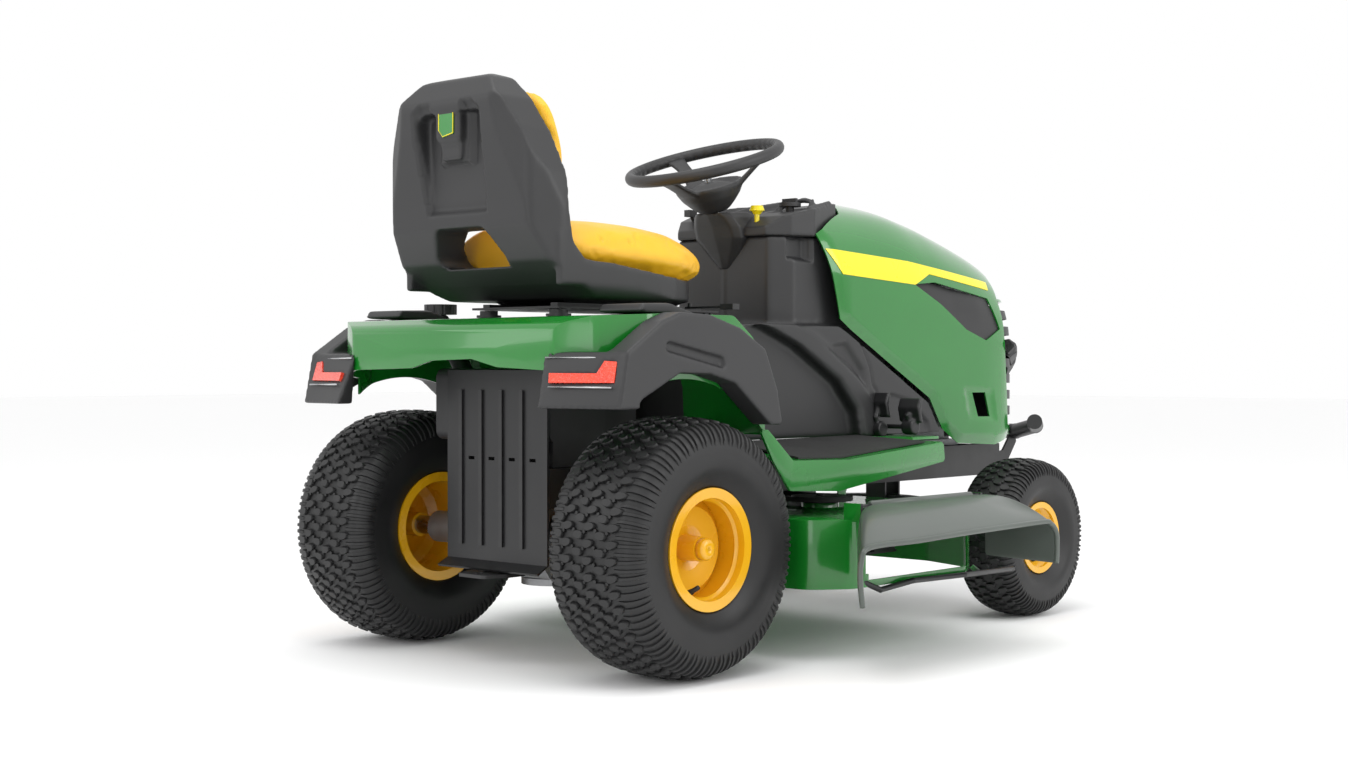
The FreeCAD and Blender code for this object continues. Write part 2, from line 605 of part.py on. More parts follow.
def rear_axle(side):
    """Wheel shaft with its end cap; it turns in the transaxle's tube."""
    inner = 110.0
    outer = REAR_TYRE_X + 82
    shaft = rod(V(side * inner, 0, REAR_TYRE_R), V(side * outer, 0, REAR_TYRE_R), REAR_SHAFT_R)
    collar = rod(V(side * 302, 0, REAR_TYRE_R), V(side * 361, 0, REAR_TYRE_R), 20)
    cap = rod(V(side * (REAR_TYRE_X + 74.5), 0, REAR_TYRE_R), V(side * outer, 0, REAR_TYRE_R), 17)
    return all_of(shaft, collar, cap)


def front_tyre(side):
    shape = tyre(side * FRONT_TYRE_X, 0, FRONT_TYRE_R, FRONT_TYRE_WIDTH / 2, 76.5, FRONT_RIM_R,
                 FRONT_RIM_HALF, 9)
    shape.translate(V(0, -WHEELBASE, FRONT_TYRE_R))
    return shape


def front_rim(side):
    shape = rim(side * FRONT_TYRE_X, 0, side, FRONT_RIM_HALF, FRONT_RIM_R, 76, 8, 20,
                FRONT_SHAFT_R + RUNNING, -34, 44)
    shape.translate(V(0, -WHEELBASE, FRONT_TYRE_R))
    return shape


def axle_beam():
    """Welded box beam that rocks on a pivot pin under the frame."""
    y0 = -WHEELBASE - 24
    y1 = -WHEELBASE + 24
    beam = front_block([(-300, 226), (-300, 262), (-60, 274), (60, 274), (300, 262), (300, 226), (60, 214),
                        (-60, 214)], y0, y1, 6)
    eyes = []
    for side in (-1, 1):
        sleeve = Part.makeCylinder(20, 52, V(side * KINGPIN_X, -WHEELBASE, 218), V(0, 0, 1))
        eyes.append(sleeve)
    beam = all_of(beam, *eyes)
    for side in (-1, 1):
        beam = beam.cut(Part.makeCylinder(11 + RUNNING, 80, V(side * KINGPIN_X, -WHEELBASE, 205), V(0, 0, 1)))
    return beam.cut(rod(V(0, y0 - 2, 244), V(0, y1 + 2, 244), 9.5 + RUNNING))


def front_spindle(side):
    """Kingpin with its stub axle and steering arm; the left one also has the drag-link arm."""
    x = side * KINGPIN_X
    y = -WHEELBASE
    pin = Part.makeCylinder(11, 118, V(x, y, 172), V(0, 0, 1))
    knuckle = Part.makeCylinder(18, 44, V(x, y, 172), V(0, 0, 1))
    stub = rod(V(x, y, FRONT_TYRE_R), V(side * (FRONT_TYRE_X + 50), y, FRONT_TYRE_R), FRONT_SHAFT_R)
    shoulder = rod(V(x, y, FRONT_TYRE_R), V(side * (FRONT_TYRE_X - 34.5), y, FRONT_TYRE_R), 14)
    washer = rod(V(side * (FRONT_TYRE_X + 44.5), y, FRONT_TYRE_R),
                 V(side * (FRONT_TYRE_X + 50), y, FRONT_TYRE_R), 15)
    arm = box(x - 11, x + 11, y - STEER_ARM - 11, y, 196, 204)
    arm_pin = Part.makeCylinder(6, 30, V(x, y - STEER_ARM, 180), V(0, 0, 1))
    shape = all_of(pin, knuckle, stub, shoulder, washer, arm, arm_pin)
    if side > 0:
        drag_arm = box(x - 11, x + 11, y - STEER_ARM - 11, y + 11, 274, 282)
        drag_pin = Part.makeCylinder(6, 22, V(x, y - STEER_ARM, 282), V(0, 0, 1))
        shape = all_of(shape, drag_arm, drag_pin)
    return shape


def tie_rod():
    """Round bar between the two steering arms; its right-hand eye is left open round the pin."""
    y = -WHEELBASE - STEER_ARM
    bar = rod(V(-KINGPIN_X + 12, y, 187), V(KINGPIN_X - 11, y, 187), 6)
    eye_left = Part.makeCylinder(13, 12, V(KINGPIN_X, y, 181), V(0, 0, 1))
    eye_right = Part.makeCylinder(16, 12, V(-KINGPIN_X, y, 181), V(0, 0, 1))
    hole_left = Part.makeCylinder(6 + RUNNING, 40, V(KINGPIN_X, y, 170), V(0, 0, 1))
    hole_right = Part.makeCylinder(8, 40, V(-KINGPIN_X, y, 170), V(0, 0, 1))
    return less(all_of(bar, eye_left, eye_right), hole_left, hole_right)


def drag_link():
    """Bar from the left spindle's upper arm to the steering sector."""
    start = V(KINGPIN_X, -WHEELBASE - STEER_ARM, 290)
    end = V(SECTOR_X, SECTOR_Y - STEER_ARM, 290)
    way = (end - start).normalize()
    bar = rod(start + way * 12, end - way * 10, 5)
    eye = Part.makeCylinder(13, 10, V(start.x, start.y, 285), V(0, 0, 1))
    far_eye = Part.makeCylinder(12, 10, V(end.x, end.y, 285), V(0, 0, 1))
    hole = Part.makeCylinder(6 + RUNNING, 40, V(start.x, start.y, 270), V(0, 0, 1))
    return less(all_of(bar, eye, far_eye), hole)


# ---------------------------------------------------------------- steering

def steering_wheel():
    """Rim on three spokes that dip to a deep hub. Built level, then leaned towards the seat."""
    rim_ring = Part.makeTorus(STEER_RIM_R, STEER_TUBE_R, V(0, 0, 0), V(0, 0, 1))
    hub = Part.makeCone(44, 60, 62, V(0, 0, -104), V(0, 0, 1))
    spokes = []
    for turn in (90, 210, 330):
        spoke = side_block([(40, -60), (40, -42), (96, -30), (STEER_RIM_R - 6, 6), (STEER_RIM_R + 6, -6),
                            (104, -46)], -20, 20, 4)
        spoke.rotate(V(0, 0, 0), V(0, 0, 1), turn)
        spokes.append(spoke)
    cap = Part.makeCone(60, 46, 16, V(0, 0, -42), V(0, 0, 1))
    bore = Part.makeCylinder(9 + RUNNING, 70, V(0, 0, -105), V(0, 0, 1))
    wheel = all_of(rim_ring, hub, cap, *spokes).cut(bore)
    wheel.rotate(V(0, 0, 0), V(1, 0, 0), -STEER_TILT)
    wheel.translate(STEER_CENTRE)
    return wheel


def steering_shaft():
    """Shaft from the wheel down to its pinion over the sector."""
    pinion_at = 690
    shaft = rod(steering_point(38), steering_point(pinion_at + 20), 9)
    pinion = rod(steering_point(pinion_at), steering_point(pinion_at + 20), 20)
    return all_of(shaft, pinion)


def steering_sector():
    """Toothed quarter plate that turns on an upright pin and pulls the drag link."""
    plate = plan_block([(SECTOR_X - 16, SECTOR_Y - 16), (SECTOR_X - 70, SECTOR_Y + 74),
                        (SECTOR_X, SECTOR_Y + 98), (SECTOR_X + 30, SECTOR_Y + 90),
                        (SECTOR_X + 16, SECTOR_Y - 16)], 307, 315, 6)
    arm = box(SECTOR_X - 12, SECTOR_X + 12, SECTOR_Y - STEER_ARM - 12, SECTOR_Y, 307, 315)
    pin = Part.makeCylinder(9, 57, V(SECTOR_X, SECTOR_Y, 307), V(0, 0, 1))
    return all_of(plate, arm, pin)


# ---------------------------------------------------------------- hood

# Stations from the dash to the nose: place, half width, height of the crown
HOOD_STATIONS = [(-690, 232, 1008), (-1000, 232, 1003), (-1150, 232, 982), (-1270, 232, 954),
                 (-1400, 231, 918), (-1480, 222, 892), (-1540, 194, 868), (-1595, 152, 840),
                 (-1626, 118, 812), (-1640, 92, 780)]
HOOD_SIDE = [(-711, 912), (-763, 713), (-802, 690), (-1127, 526), (-1182, 449), (-1250, 412),
             (-1426, 403), (-1540, 424), (-1660, 440), (-1660, 1020), (-711, 1020)]
VENT_SIDE = [(-1052, 803), (-1142, 811), (-1391, 778), (-1438, 700), (-1367, 670), (-1275, 697),
             (-1164, 757)]
STRIPE_SIDE = [(-724, 875), (-762, 817), (-1052, 808), (-1120, 834), (-1409, 803), (-1419, 822),
               (-1035, 860)]


def faceted_body(sections):
    """Closed solid through sections of equal point counts, with flat three-cornered facets."""
    faces = []
    for near, far in zip(sections, sections[1:]):
        count = len(near)
        for i in range(count):
            j = (i + 1) % count
            faces.append(Part.Face(Part.makePolygon([near[i], near[j], far[j], near[i]])))
            faces.append(Part.Face(Part.makePolygon([near[i], far[j], far[i], near[i]])))
    for end in (sections[0], sections[-1]):
        faces.append(Part.Face(Part.makePolygon(end + end[:1])))
    shell = Part.Shell(faces)
    shell.sewShape()
    body = Part.Solid(shell)
    if body.Volume < 0:
        body.reverse()
    return body


def hood_form(grow):
    """Closed body of the hood, this much larger than its outer skin."""
    sections = []
    for y, half, top in HOOD_STATIONS:
        w = half + grow
        t = top + grow
        if y < -1500:
            y = y - grow
        half_points = [(-w, 395), (-w, t - 230), (-0.974 * w, t - 165), (-0.862 * w, t - 98),
                       (-0.647 * w, t - 41), (-0.35 * w, t - 11), (0, t)]
        sections.append([V(x, y, z) for x, z in both_sides(half_points)])
    return faceted_body(sections)


def dash_notch():
    """Plan of the space that the hood leaves for the dash."""
    return plan_block(both_sides([(-300, -600), (-206, -690), (-200, -712), (-150, -853), (0, -1002)]), 700, 1100)


def grille_space(clear):
    return box(-128 + clear, 128 - clear, -1700, -1570, 462 + clear, 768 - clear)


def lamp_space(clear):
    lamp = box(-136 + clear, -18 - clear, -1700, -1560, 774 + clear, 814 - clear)
    return lamp.fuse(mirrored(lamp))


def vent_space(x0, x1, inset):
    wire = closed_wire([V(x0, y, z) for y, z in VENT_SIDE], 8)
    if inset:
        wire = wire.makeOffset2D(-inset)
    block = Part.Face(wire).extrude(V(x1 - x0, 0, 0))
    return block


def hood_shell():
    """One-piece moulded hood, open below and behind."""
    skin = hood_form(0).common(side_block(HOOD_SIDE, -240, 240, 8))
    hollow = hood_form(-SHEET)
    slot = side_block([(-1308, 538), (-1368, 538), (-1391, 476), (-1335, 477)], -240, 240, 4)
    pin_hole = rod(V(-130, HOOD_PIVOT_Y, HOOD_PIVOT_Z), V(-90, HOOD_PIVOT_Y, HOOD_PIVOT_Z), 6 + RUNNING)
    lug = box(-114, -106, -1635, -1582, 410, 492).common(hood_form(-1)).cut(pin_hole)
    shell = less(skin, hollow, dash_notch(), grille_space(0), lamp_space(0), slot)
    shell = less(shell, vent_space(-240, -220, 0), vent_space(220, 240, 0))
    return max(all_of(shell, lug, mirrored(lug)).Solids, key=lambda solid: solid.Volume)


def hood_grille():
    """Moulded grille with seven cross slots."""
    plate = hood_form(-1).common(grille_space(0.6)).cut(hood_form(-12))
    lug_clear = box(-120, -94, -1660, -1570, 440, 500)
    slots = [box(-100, 100, -1700, -1500, z, z + 22) for z in range(500, 740, 38)]
    grille = less(plate, lug_clear, mirrored(lug_clear), *slots)
    return max(grille.Solids, key=lambda solid: solid.Volume)


def headlamps():
    return hood_form(-0.5).common(lamp_space(0.6)).cut(hood_form(-12))


def hood_side_vents():
    return pair(vent_space(-231.5, -227, 0.6))


def hood_stripes():
    """Thin raised side bands."""
    band = hood_form(1.4).cut(hood_form(0.3)).common(side_block(STRIPE_SIDE, -260, -150, 4))
    return pair(band)


# ---------------------------------------------------------------- seat

def seat_bracket():
    """Pressed plate that hinges at its front, with the two lower slide rails."""
    plate = box(-130, 130, -440, 55, 722.5, 727)
    rail = box(-112, -92, -400, 40, 727, 734.5)
    ear = side_block([(-440, 727), (SEAT_PIVOT_Y - 12, 727), (SEAT_PIVOT_Y - 12, SEAT_PIVOT_Z - 12),
                      (SEAT_PIVOT_Y + 10, SEAT_PIVOT_Z - 12), (-438, 722.5)], -91, -85)
    bore = rod(V(-95, SEAT_PIVOT_Y, SEAT_PIVOT_Z), V(-80, SEAT_PIVOT_Y, SEAT_PIVOT_Z), 5 + RUNNING)
    ear = ear.cut(bore)
    return all_of(plate, rail, mirrored(rail), ear, mirrored(ear))


def seat_front_view(inset):
    """Back view of the seat shell: straight sides that close in to a rounded top."""
    w = SEAT_HALF - inset
    return both_sides([(-w, 740), (-w, 915), (-w + 14, 985), (-w + 44, 1065), (-w + 82, 1130),
                       (-w + 130, 1176 - inset), (-60, 1189 - inset)])


def seat_shell():
    """Moulded bucket: pan and curved back in one, with a hand hole through the back."""
    side = [(-408, 742), (40, 742), (100, 768), (170, 812), (208, 880), (214, 930), (228, 1000), (240, 1065),
            (246, 1130), (214, 1178), (171, 1189), (150, 1180), (142, 1110), (128, 1040), (118, 975),
            (124, 915), (112, 850), (62, 800), (-60, 785), (-200, 776), (-400, 786), (-466, 792),
            (-462, 772)]
    body = side_block(side, -SEAT_HALF, SEAT_HALF, 14)
    body = body.common(front_block(seat_front_view(0), -500, 300, 30))
    plan = both_sides([(-170, -470), (-222, -400), (-SEAT_HALF, -250), (-SEAT_HALF, 140), (-205, 210),
                       (-120, 250)])
    body = body.common(plan_block(plan, 700, 1250, 30))
    hand_hole = front_block([(-112, 804), (-69, 881), (69, 881), (112, 804)], 40, 300, 16)
    recess = front_block([(-84, 930), (-96, 1110), (96, 1110), (84, 930)], 214, 300, 20)
    rail = box(-112, -92, -330, 0, 735, 743)
    return all_of(less(body, hand_hole, recess), rail, mirrored(rail))


def seat_cushion():
    """Bottom cushion, crowned from side to side."""
    side = [(-404, 788), (-470, 794), (-476, 830), (-440, 868), (-330, 898), (-230, 904), (-60, 880),
            (40, 858), (60, 832), (56, 802), (-60, 787), (-200, 778)]
    front = both_sides([(-226, 780), (-226, 822), (-196, 872), (-110, 896), (0, 904)])
    plan = both_sides([(-150, -476), (-214, -400), (-228, -240), (-226, 20), (-180, 62)])
    block = side_block(side, -230, 230, 20).common(front_block(front, -500, 100, 20))
    return block.common(plan_block(plan, 700, 950, 30))


def seat_back_cushion():
    """Back cushion in front of the shell's upright part."""
    side = [(140, 1112), (147, 1164), (120, 1160), (98, 1113), (80, 1040), (74, 985), (84, 925), (100, 884),
            (116, 880), (122, 915), (116, 975), (126, 1040)]
    block = side_block(side, -200, 200, 10)
    front = both_sides([(-178, 880), (-200, 930), (-192, 1010), (-158, 1090), (-100, 1150), (-40, 1166)])
    return block.common(front_block(front, 0, 300, 30))


def seat_adjust_lever():
    """Flat lever under the right front of the pan, on an upright pin."""
    bar = box(-262, -136, -333, -321, 729, 733)
    pin = Part.makeCylinder(5, 12, V(-145, -327, 729), V(0, 0, 1))
    knob = box(-276, -240, -338, -316, 725, 737)
    return all_of(bar, pin, knob)


# ---------------------------------------------------------------- controls

def foot_pedal(x0, x1, shaft, height, pad_length):
    """Pad on a flat arm that is welded to a cross shaft."""
    y, z = shaft
    bar = rod(V(x0, y, z), V(-150, y, z), PEDAL_SHAFT_R)
    middle = (x0 + x1) / 2
    arm = box(middle - 5, middle + 5, y - 6, y + 6, z - 3, height - 14)
    pad = side_block([(y - 16, height), (y + pad_length - 16, height - 26), (y + pad_length - 16, height - 34),
                      (y - 16, height - 9)], x0, x1, 3)
    return all_of(bar, arm, pad)


def height_dial():
    """Round cutting-height dial with a grip bar."""
    stem = Part.makeCylinder(10, 36, V(DIAL_X, DIAL_Y, 942), V(0, 0, 1))
    disc = Part.makeCylinder(26, 9, V(DIAL_X, DIAL_Y, 976), V(0, 0, 1))
    grip = box(DIAL_X - 20, DIAL_X + 20, DIAL_Y - 4, DIAL_Y + 4, 985, 995)
    return all_of(stem, disc, grip)


def pto_knob():
    """Pull knob that engages the blades."""
    stem = Part.makeCylinder(6, 40, V(KNOB_X, KNOB_Y, 920), V(0, 0, 1))
    neck = Part.makeCone(8, 14, 8, V(KNOB_X, KNOB_Y, 954), V(0, 0, 1))
    head = Part.makeCone(18, 14, 12, V(KNOB_X, KNOB_Y, 962), V(0, 0, 1))
    return all_of(stem, neck, head)


def throttle_lever():
    pivot = rod(V(LEVER_X - 12, -672, 912), V(LEVER_X + 12, -672, 912), 6)
    bar = rod(V(LEVER_X, -672, 912), V(LEVER_X, -634, 964), 4)
    tip = box(LEVER_X - 9, LEVER_X + 9, -646, -620, 960, 976)
    return all_of(pivot, bar, tip)


# ---------------------------------------------------------------- mower deck

def deck_plan(inset):
    w = DECK_HALF - inset
    return [(-120, DECK_REAR - inset), (-w + 60, DECK_REAR - inset - 6), (-w, DECK_REAR - 85),
         (-w, DECK_FRONT + 150), (-w + 50, DECK_FRONT + 60 + inset), (-w + 200, DECK_FRONT + inset),
         (w - 200, DECK_FRONT + inset), (w - 50, DECK_FRONT + 60 + inset), (w, DECK_FRONT + 150),
         (w, DECK_REAR - 85), (w - 60, DECK_REAR - inset - 6), (120, DECK_REAR - inset)]


def deck_shell():
    """Pressed deck, open below, with an outlet on the right, hangers, spindle seats and guard bar."""
    outer = plan_block(deck_plan(0), DECK_BOTTOM, DECK_TOP, 60)
    inner = plan_block(deck_plan(SHEET), DECK_BOTTOM - 10, DECK_TOP - SHEET, 56)
    outlet = box(-DECK_HALF - 10, -DECK_HALF + 30, -840, -430, DECK_BOTTOM + 14, 268)
    shell = less(outer, inner, outlet)
    hangers = []
    for side in (-1, 1):
        seat = Part.makeCylinder(42, 10, V(side * BLADE_X, BLADE_Y, DECK_TOP), V(0, 0, 1))
        hangers.append(seat)
        for y in (-400, -860):
            x0 = side * (RAIL_X + 2)
            x1 = side * (RAIL_X + 6)
            hangers.append(box(min(x0, x1), max(x0, x1), y - 15, y + 15, DECK_TOP - 2, 425))
    lugs = [box(CHUTE_PIVOT_X - 5.5, -DECK_HALF + 25, y - 4, y + 4, DECK_TOP - 4, CHUTE_PIVOT_Z + 5.5)
            for y in (-838, -392)]
    hinge_rod = rod(V(CHUTE_PIVOT_X, -842, CHUTE_PIVOT_Z), V(CHUTE_PIVOT_X, -388, CHUTE_PIVOT_Z), 4)
    guard = bent_rod([V(-534, -425, 160), V(-548, -470, 140), V(-552, -582, 150), V(-552, -780, 146),
                      V(-538, -1000, 140)], 6)
    guard_foot = box(-DECK_HALF, -DECK_HALF + SHEET, -440, -410, 150, 175)
    front_foot = bent_rod([V(-545, -850, 144), V(-532, -838, 158)], 6)
    spindle_bores = [Part.makeCylinder(9 + RUNNING, 60, V(side * BLADE_X, BLADE_Y, 260), V(0, 0, 1))
                     for side in (-1, 1)]
    shell = all_of(shell, *hangers, *lugs, hinge_rod, guard, guard_foot, front_foot)
    return max(less(shell, *spindle_bores).Solids, key=lambda solid: solid.Volume)


def chute_plan(inset):
    return [(CHUTE_PIVOT_X - 8, -372), (-640, -262 - inset), (CHUTE_LIP_X + inset, -140 - 1.4 * inset),
            (CHUTE_LIP_X + inset, -862 + inset), (-600, -852 + inset), (CHUTE_PIVOT_X - 8, -836)]


def discharge_chute():
    """Moulded deflector: a sloping top, a front and a rear leg, and knuckles on the hinge rod."""
    section = [(CHUTE_PIVOT_X - 8, 150), (CHUTE_PIVOT_X - 8, 322), (-640, 312), (-712, 288),
               (CHUTE_LIP_X, 262), (CHUTE_LIP_X, 150)]
    hollow = [(CHUTE_PIVOT_X + 10, 100), (CHUTE_PIVOT_X + 10, 317), (-640, 306), (-709, 282),
              (CHUTE_LIP_X + 5, 259), (CHUTE_LIP_X + 5, 100)]
    outer = front_block(section, -900, -100, 10).common(plan_block(chute_plan(0), 100, 400, 24))
    inner = front_block(hollow, -895, -105, 8).common(plan_block(chute_plan(5), 90, 390, 20))
    mouth = box(CHUTE_LIP_X - 10, CHUTE_LIP_X + 12, -835, -195, 100, 258)
    rear_open = plan_block([(CHUTE_PIVOT_X + 10, -420), (CHUTE_PIVOT_X + 10, -250), (-700, -120),
                            (-700, -260)], 100, 268)
    shell = less(outer, inner, mouth, rear_open)
    knuckles = []
    for y in (-800, -640, -440):
        tube = Part.makeCylinder(9, 40, V(CHUTE_PIVOT_X, y, CHUTE_PIVOT_Z), V(0, 1, 0))
        bore = Part.makeCylinder(4.4, 44, V(CHUTE_PIVOT_X, y - 2, CHUTE_PIVOT_Z), V(0, 1, 0))
        knuckles.append(tube.cut(bore))
    rod_space = Part.makeCylinder(4.4, 500, V(CHUTE_PIVOT_X, -860, CHUTE_PIVOT_Z), V(0, 1, 0))
    shell = all_of(shell, *knuckles).cut(rod_space)
    return max(shell.Solids, key=lambda solid: solid.Volume)


def blade(side):
    """High-lift blade on its spindle, with the belt pulley on top."""
    x = side * BLADE_X
    bar = box(x - 28, x + 28, BLADE_Y - BLADE_R, BLADE_Y + BLADE_R, 172, 178)
    bar = bar.common(Part.makeCylinder(BLADE_R, 20, V(x, BLADE_Y, 165), V(0, 0, 1)))
    wing = box(x - 28, x - 6, BLADE_Y - BLADE_R + 8, BLADE_Y - BLADE_R + 90, 178, 190)
    other_wing = box(x + 6, x + 28, BLADE_Y + BLADE_R - 90, BLADE_Y + BLADE_R - 8, 178, 190)
    shaft = Part.makeCylinder(9, 158, V(x, BLADE_Y, 160), V(0, 0, 1))
    bolt = Part.makeCylinder(14, 12, V(x, BLADE_Y, 160), V(0, 0, 1))
    spindle = Part.makeCylinder(30, 90, V(x, BLADE_Y, 178), V(0, 0, 1))
    pulley = Part.makeCylinder(65, 12, V(x, BLADE_Y, 303), V(0, 0, 1))
    return all_of(bar, wing, other_wing, shaft, bolt, spindle, pulley)


def deck_belt():
    """V-belt round both spindle pulleys."""
    def loop(r, z0, z1):
        ends = [Part.makeCylinder(r, z1 - z0, V(side * BLADE_X, BLADE_Y, z0), V(0, 0, 1)) for side in (-1, 1)]
        return ends[0].fuse(ends[1]).fuse(box(-BLADE_X, BLADE_X, BLADE_Y - r, BLADE_Y + r, z0, z1))
    return loop(73, 304, 314).cut(loop(65.4, 300, 318)).removeSplitter()


# ---------------------------------------------------------------- write the sub-parts

os.makedirs("parts", exist_ok=True)

save("frame_rails", frame_rails())
save("rear_plate", rear_plate())
save("hitch_plate", hitch_plate())
save("transaxle", transaxle())
save("engine_block", engine_block())
save("engine_shroud", engine_shroud())
save("muffler", muffler())
save("battery", battery())
save("fuel_tank", fuel_tank())
save("fuel_cap", fuel_cap())
save("fender_deck", fender_deck())
save("fender_trim_right", fender_trim_right())
save("fender_trim_left", mirrored(fender_trim_right()))
save("tail_lenses", pair(tail_lens_right()))
save("seat_springs", seat_springs())
save("running_boards", pair(running_board_right()))
save("floor_mats", pair(floor_mat_right()))
save("pedestal", pedestal())
save("dash_console", dash_console())
save("column_collar", column_collar())
save("front_bumper", front_bumper())
for name, side in (("right", -1), ("left", 1)):
    save("rear_tyre_" + name, rear_tyre(side))
    save("rear_rim_" + name, rear_rim(side))
    save("rear_axle_" + name, rear_axle(side))
    save("front_tyre_" + name, front_tyre(side))
    save("front_rim_" + name, front_rim(side))
    save("front_spindle_" + name, front_spindle(side))
    save("blade_" + name, blade(side))
save("axle_beam", axle_beam())
save("tie_rod", tie_rod())
save("drag_link", drag_link())
save("steering_wheel", steering_wheel())
save("steering_shaft", steering_shaft())
save("steering_sector", steering_sector())
save("hood_shell", hood_shell())
save("hood_grille", hood_grille())
save("headlamps", headlamps())
save("hood_side_vents", hood_side_vents())
save("hood_stripes", hood_stripes())
save("seat_bracket", seat_bracket())
save("seat_shell", seat_shell())
save("seat_cushion", seat_cushion())
save("seat_back_cushion", seat_back_cushion())
save("seat_adjust_lever", seat_adjust_lever())
save("forward_pedal", foot_pedal(-290, -236, PEDAL_SHAFTS[0], 526, 62))
save("reverse_pedal", foot_pedal(-358, -304, PEDAL_SHAFTS[1], 512, 62))
save("brake_pedal", mirrored(foot_pedal(-330, -250, PEDAL_SHAFTS[0], 526, 62)))
save("height_dial", height_dial())
save("pto_knob", pto_knob())
save("throttle_lever", throttle_lever())
save("deck_shell", deck_shell())
save("discharge_chute", discharge_chute())
save("deck_belt", deck_belt())
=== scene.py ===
import json
import math

import bmesh
import bpy
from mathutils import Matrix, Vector


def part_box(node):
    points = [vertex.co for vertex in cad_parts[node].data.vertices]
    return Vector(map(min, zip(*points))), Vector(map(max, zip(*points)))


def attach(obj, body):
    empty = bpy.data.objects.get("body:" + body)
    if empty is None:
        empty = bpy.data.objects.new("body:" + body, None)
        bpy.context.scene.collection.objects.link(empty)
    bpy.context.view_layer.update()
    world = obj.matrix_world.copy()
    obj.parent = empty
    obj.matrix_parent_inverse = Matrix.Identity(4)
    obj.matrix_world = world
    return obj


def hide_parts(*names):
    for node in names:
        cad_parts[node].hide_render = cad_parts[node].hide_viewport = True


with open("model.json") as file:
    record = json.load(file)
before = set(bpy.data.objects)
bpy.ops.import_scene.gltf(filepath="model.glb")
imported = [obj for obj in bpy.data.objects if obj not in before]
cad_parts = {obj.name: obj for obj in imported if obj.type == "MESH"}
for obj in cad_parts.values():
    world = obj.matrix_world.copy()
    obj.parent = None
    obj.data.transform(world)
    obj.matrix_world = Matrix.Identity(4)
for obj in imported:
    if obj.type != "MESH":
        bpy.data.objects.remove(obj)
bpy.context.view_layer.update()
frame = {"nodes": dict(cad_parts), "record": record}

# ---- Camera: low, behind the machine and to the operator's right
VIEW_TURN = 0.735
VIEW_DIP = -0.010
camera = bpy.data.objects.new("camera", bpy.data.cameras.new("camera"))
camera.data.lens = 49.45
camera.data.sensor_width = 36
camera.data.clip_end = 60
camera.location = (-2.8075, 2.6692, 0.6063)
looking = Vector((math.sin(VIEW_TURN) * math.cos(VIEW_DIP), -math.cos(VIEW_TURN) * math.cos(VIEW_DIP),
                  math.sin(VIEW_DIP)))
camera.rotation_euler = looking.to_track_quat("-Z", "Y").to_euler()
bpy.context.scene.collection.objects.link(camera)
bpy.context.scene.camera = camera

# ---- Studio: pale floor that sweeps away, large soft boxes above and at both sides
def paint_of(name, colour, roughness):
    plain = bpy.data.materials.new(name)
    plain.use_nodes = True
    skin = plain.node_tree.nodes["Principled BSDF"]
    skin.inputs["Base Color"].default_value = (*colour, 1)
    skin.inputs["Roughness"].default_value = roughness
    return plain


floor_mesh = bpy.data.meshes.new("floor")
floor_mesh.from_pydata([(-30, -30, 0), (30, -30, 0), (30, 30, 0), (-30, 30, 0)], [], [(0, 1, 2, 3)])
floor_mesh.materials.append(paint_of("floor_card", (0.97, 0.97, 0.97), 0.8))
floor = bpy.data.objects.new("floor", floor_mesh)
bpy.context.scene.collection.objects.link(floor)
bpy.context.scene.view_settings.view_transform = "Standard"

studio = bpy.data.worlds.new("studio")
studio.use_nodes = True
studio.node_tree.nodes["Background"].inputs["Color"].default_value = (1.0, 1.0, 1.0, 1)
studio.node_tree.nodes["Background"].inputs["Strength"].default_value = 1.0
bpy.context.scene.world = studio

SOFT_BOXES = [  # name, place, aimed at, width, height, watts
    ("overhead", (-0.6, 0.6, 4.2), (0, -0.5, 0.4), 3.4, 3.0, 70),
    ("right_side", (-4.2, -1.6, 2.4), (0, -0.7, 0.5), 2.6, 2.4, 60),
    ("behind_left", (2.6, 4.0, 2.6), (0, 0, 0.6), 2.4, 2.4, 30),
    ("low_rear", (-2.2, 4.4, 1.2), (0, 0, 0.5), 2.4, 1.6, 20),
]
for name, place, target, width, height, watts in SOFT_BOXES:
    lamp = bpy.data.lights.new(name, "AREA")
    lamp.shape = "RECTANGLE"
    lamp.size = width
    lamp.size_y = height
    lamp.energy = watts
    box_light = bpy.data.objects.new(name, lamp)
    box_light.location = place
    box_light.rotation_euler = (Vector(target) - Vector(place)).to_track_quat("-Z", "Y").to_euler()
    bpy.context.scene.collection.objects.link(box_light)

# ---- Tyres: turf tyres with rounded, staggered lugs across the crown and fine ribs down the shoulders.
# The casing is one moulded ring; the lugs and ribs of one pitch are repeated round the axle.
def value_group(name, inputs, outputs):
    """Empty shader group of plain values, with its two end nodes."""
    group = bpy.data.node_groups.new(name, "ShaderNodeTree")
    for label, value in inputs:
        group.interface.new_socket(label, in_out="INPUT", socket_type="NodeSocketFloat").default_value = value
    for label in outputs:
        group.interface.new_socket(label, in_out="OUTPUT", socket_type="NodeSocketFloat")
    return group, group.nodes.new("NodeGroupInput"), group.nodes.new("NodeGroupOutput")


def node_in(tree, kind, **values):
    """New node with these input values; an underscore in a name stands for a space."""
    node = tree.nodes.new(kind)
    for label, value in values.items():
        node.inputs[label.replace("_", " ")].default_value = value
    return node


def wired(tree, *wires):
    """Joins one node's output to another's input for each (node, output, node, input)."""
    for source, out, target, into in wires:
        tree.links.new(source.outputs[out], target.inputs[into])


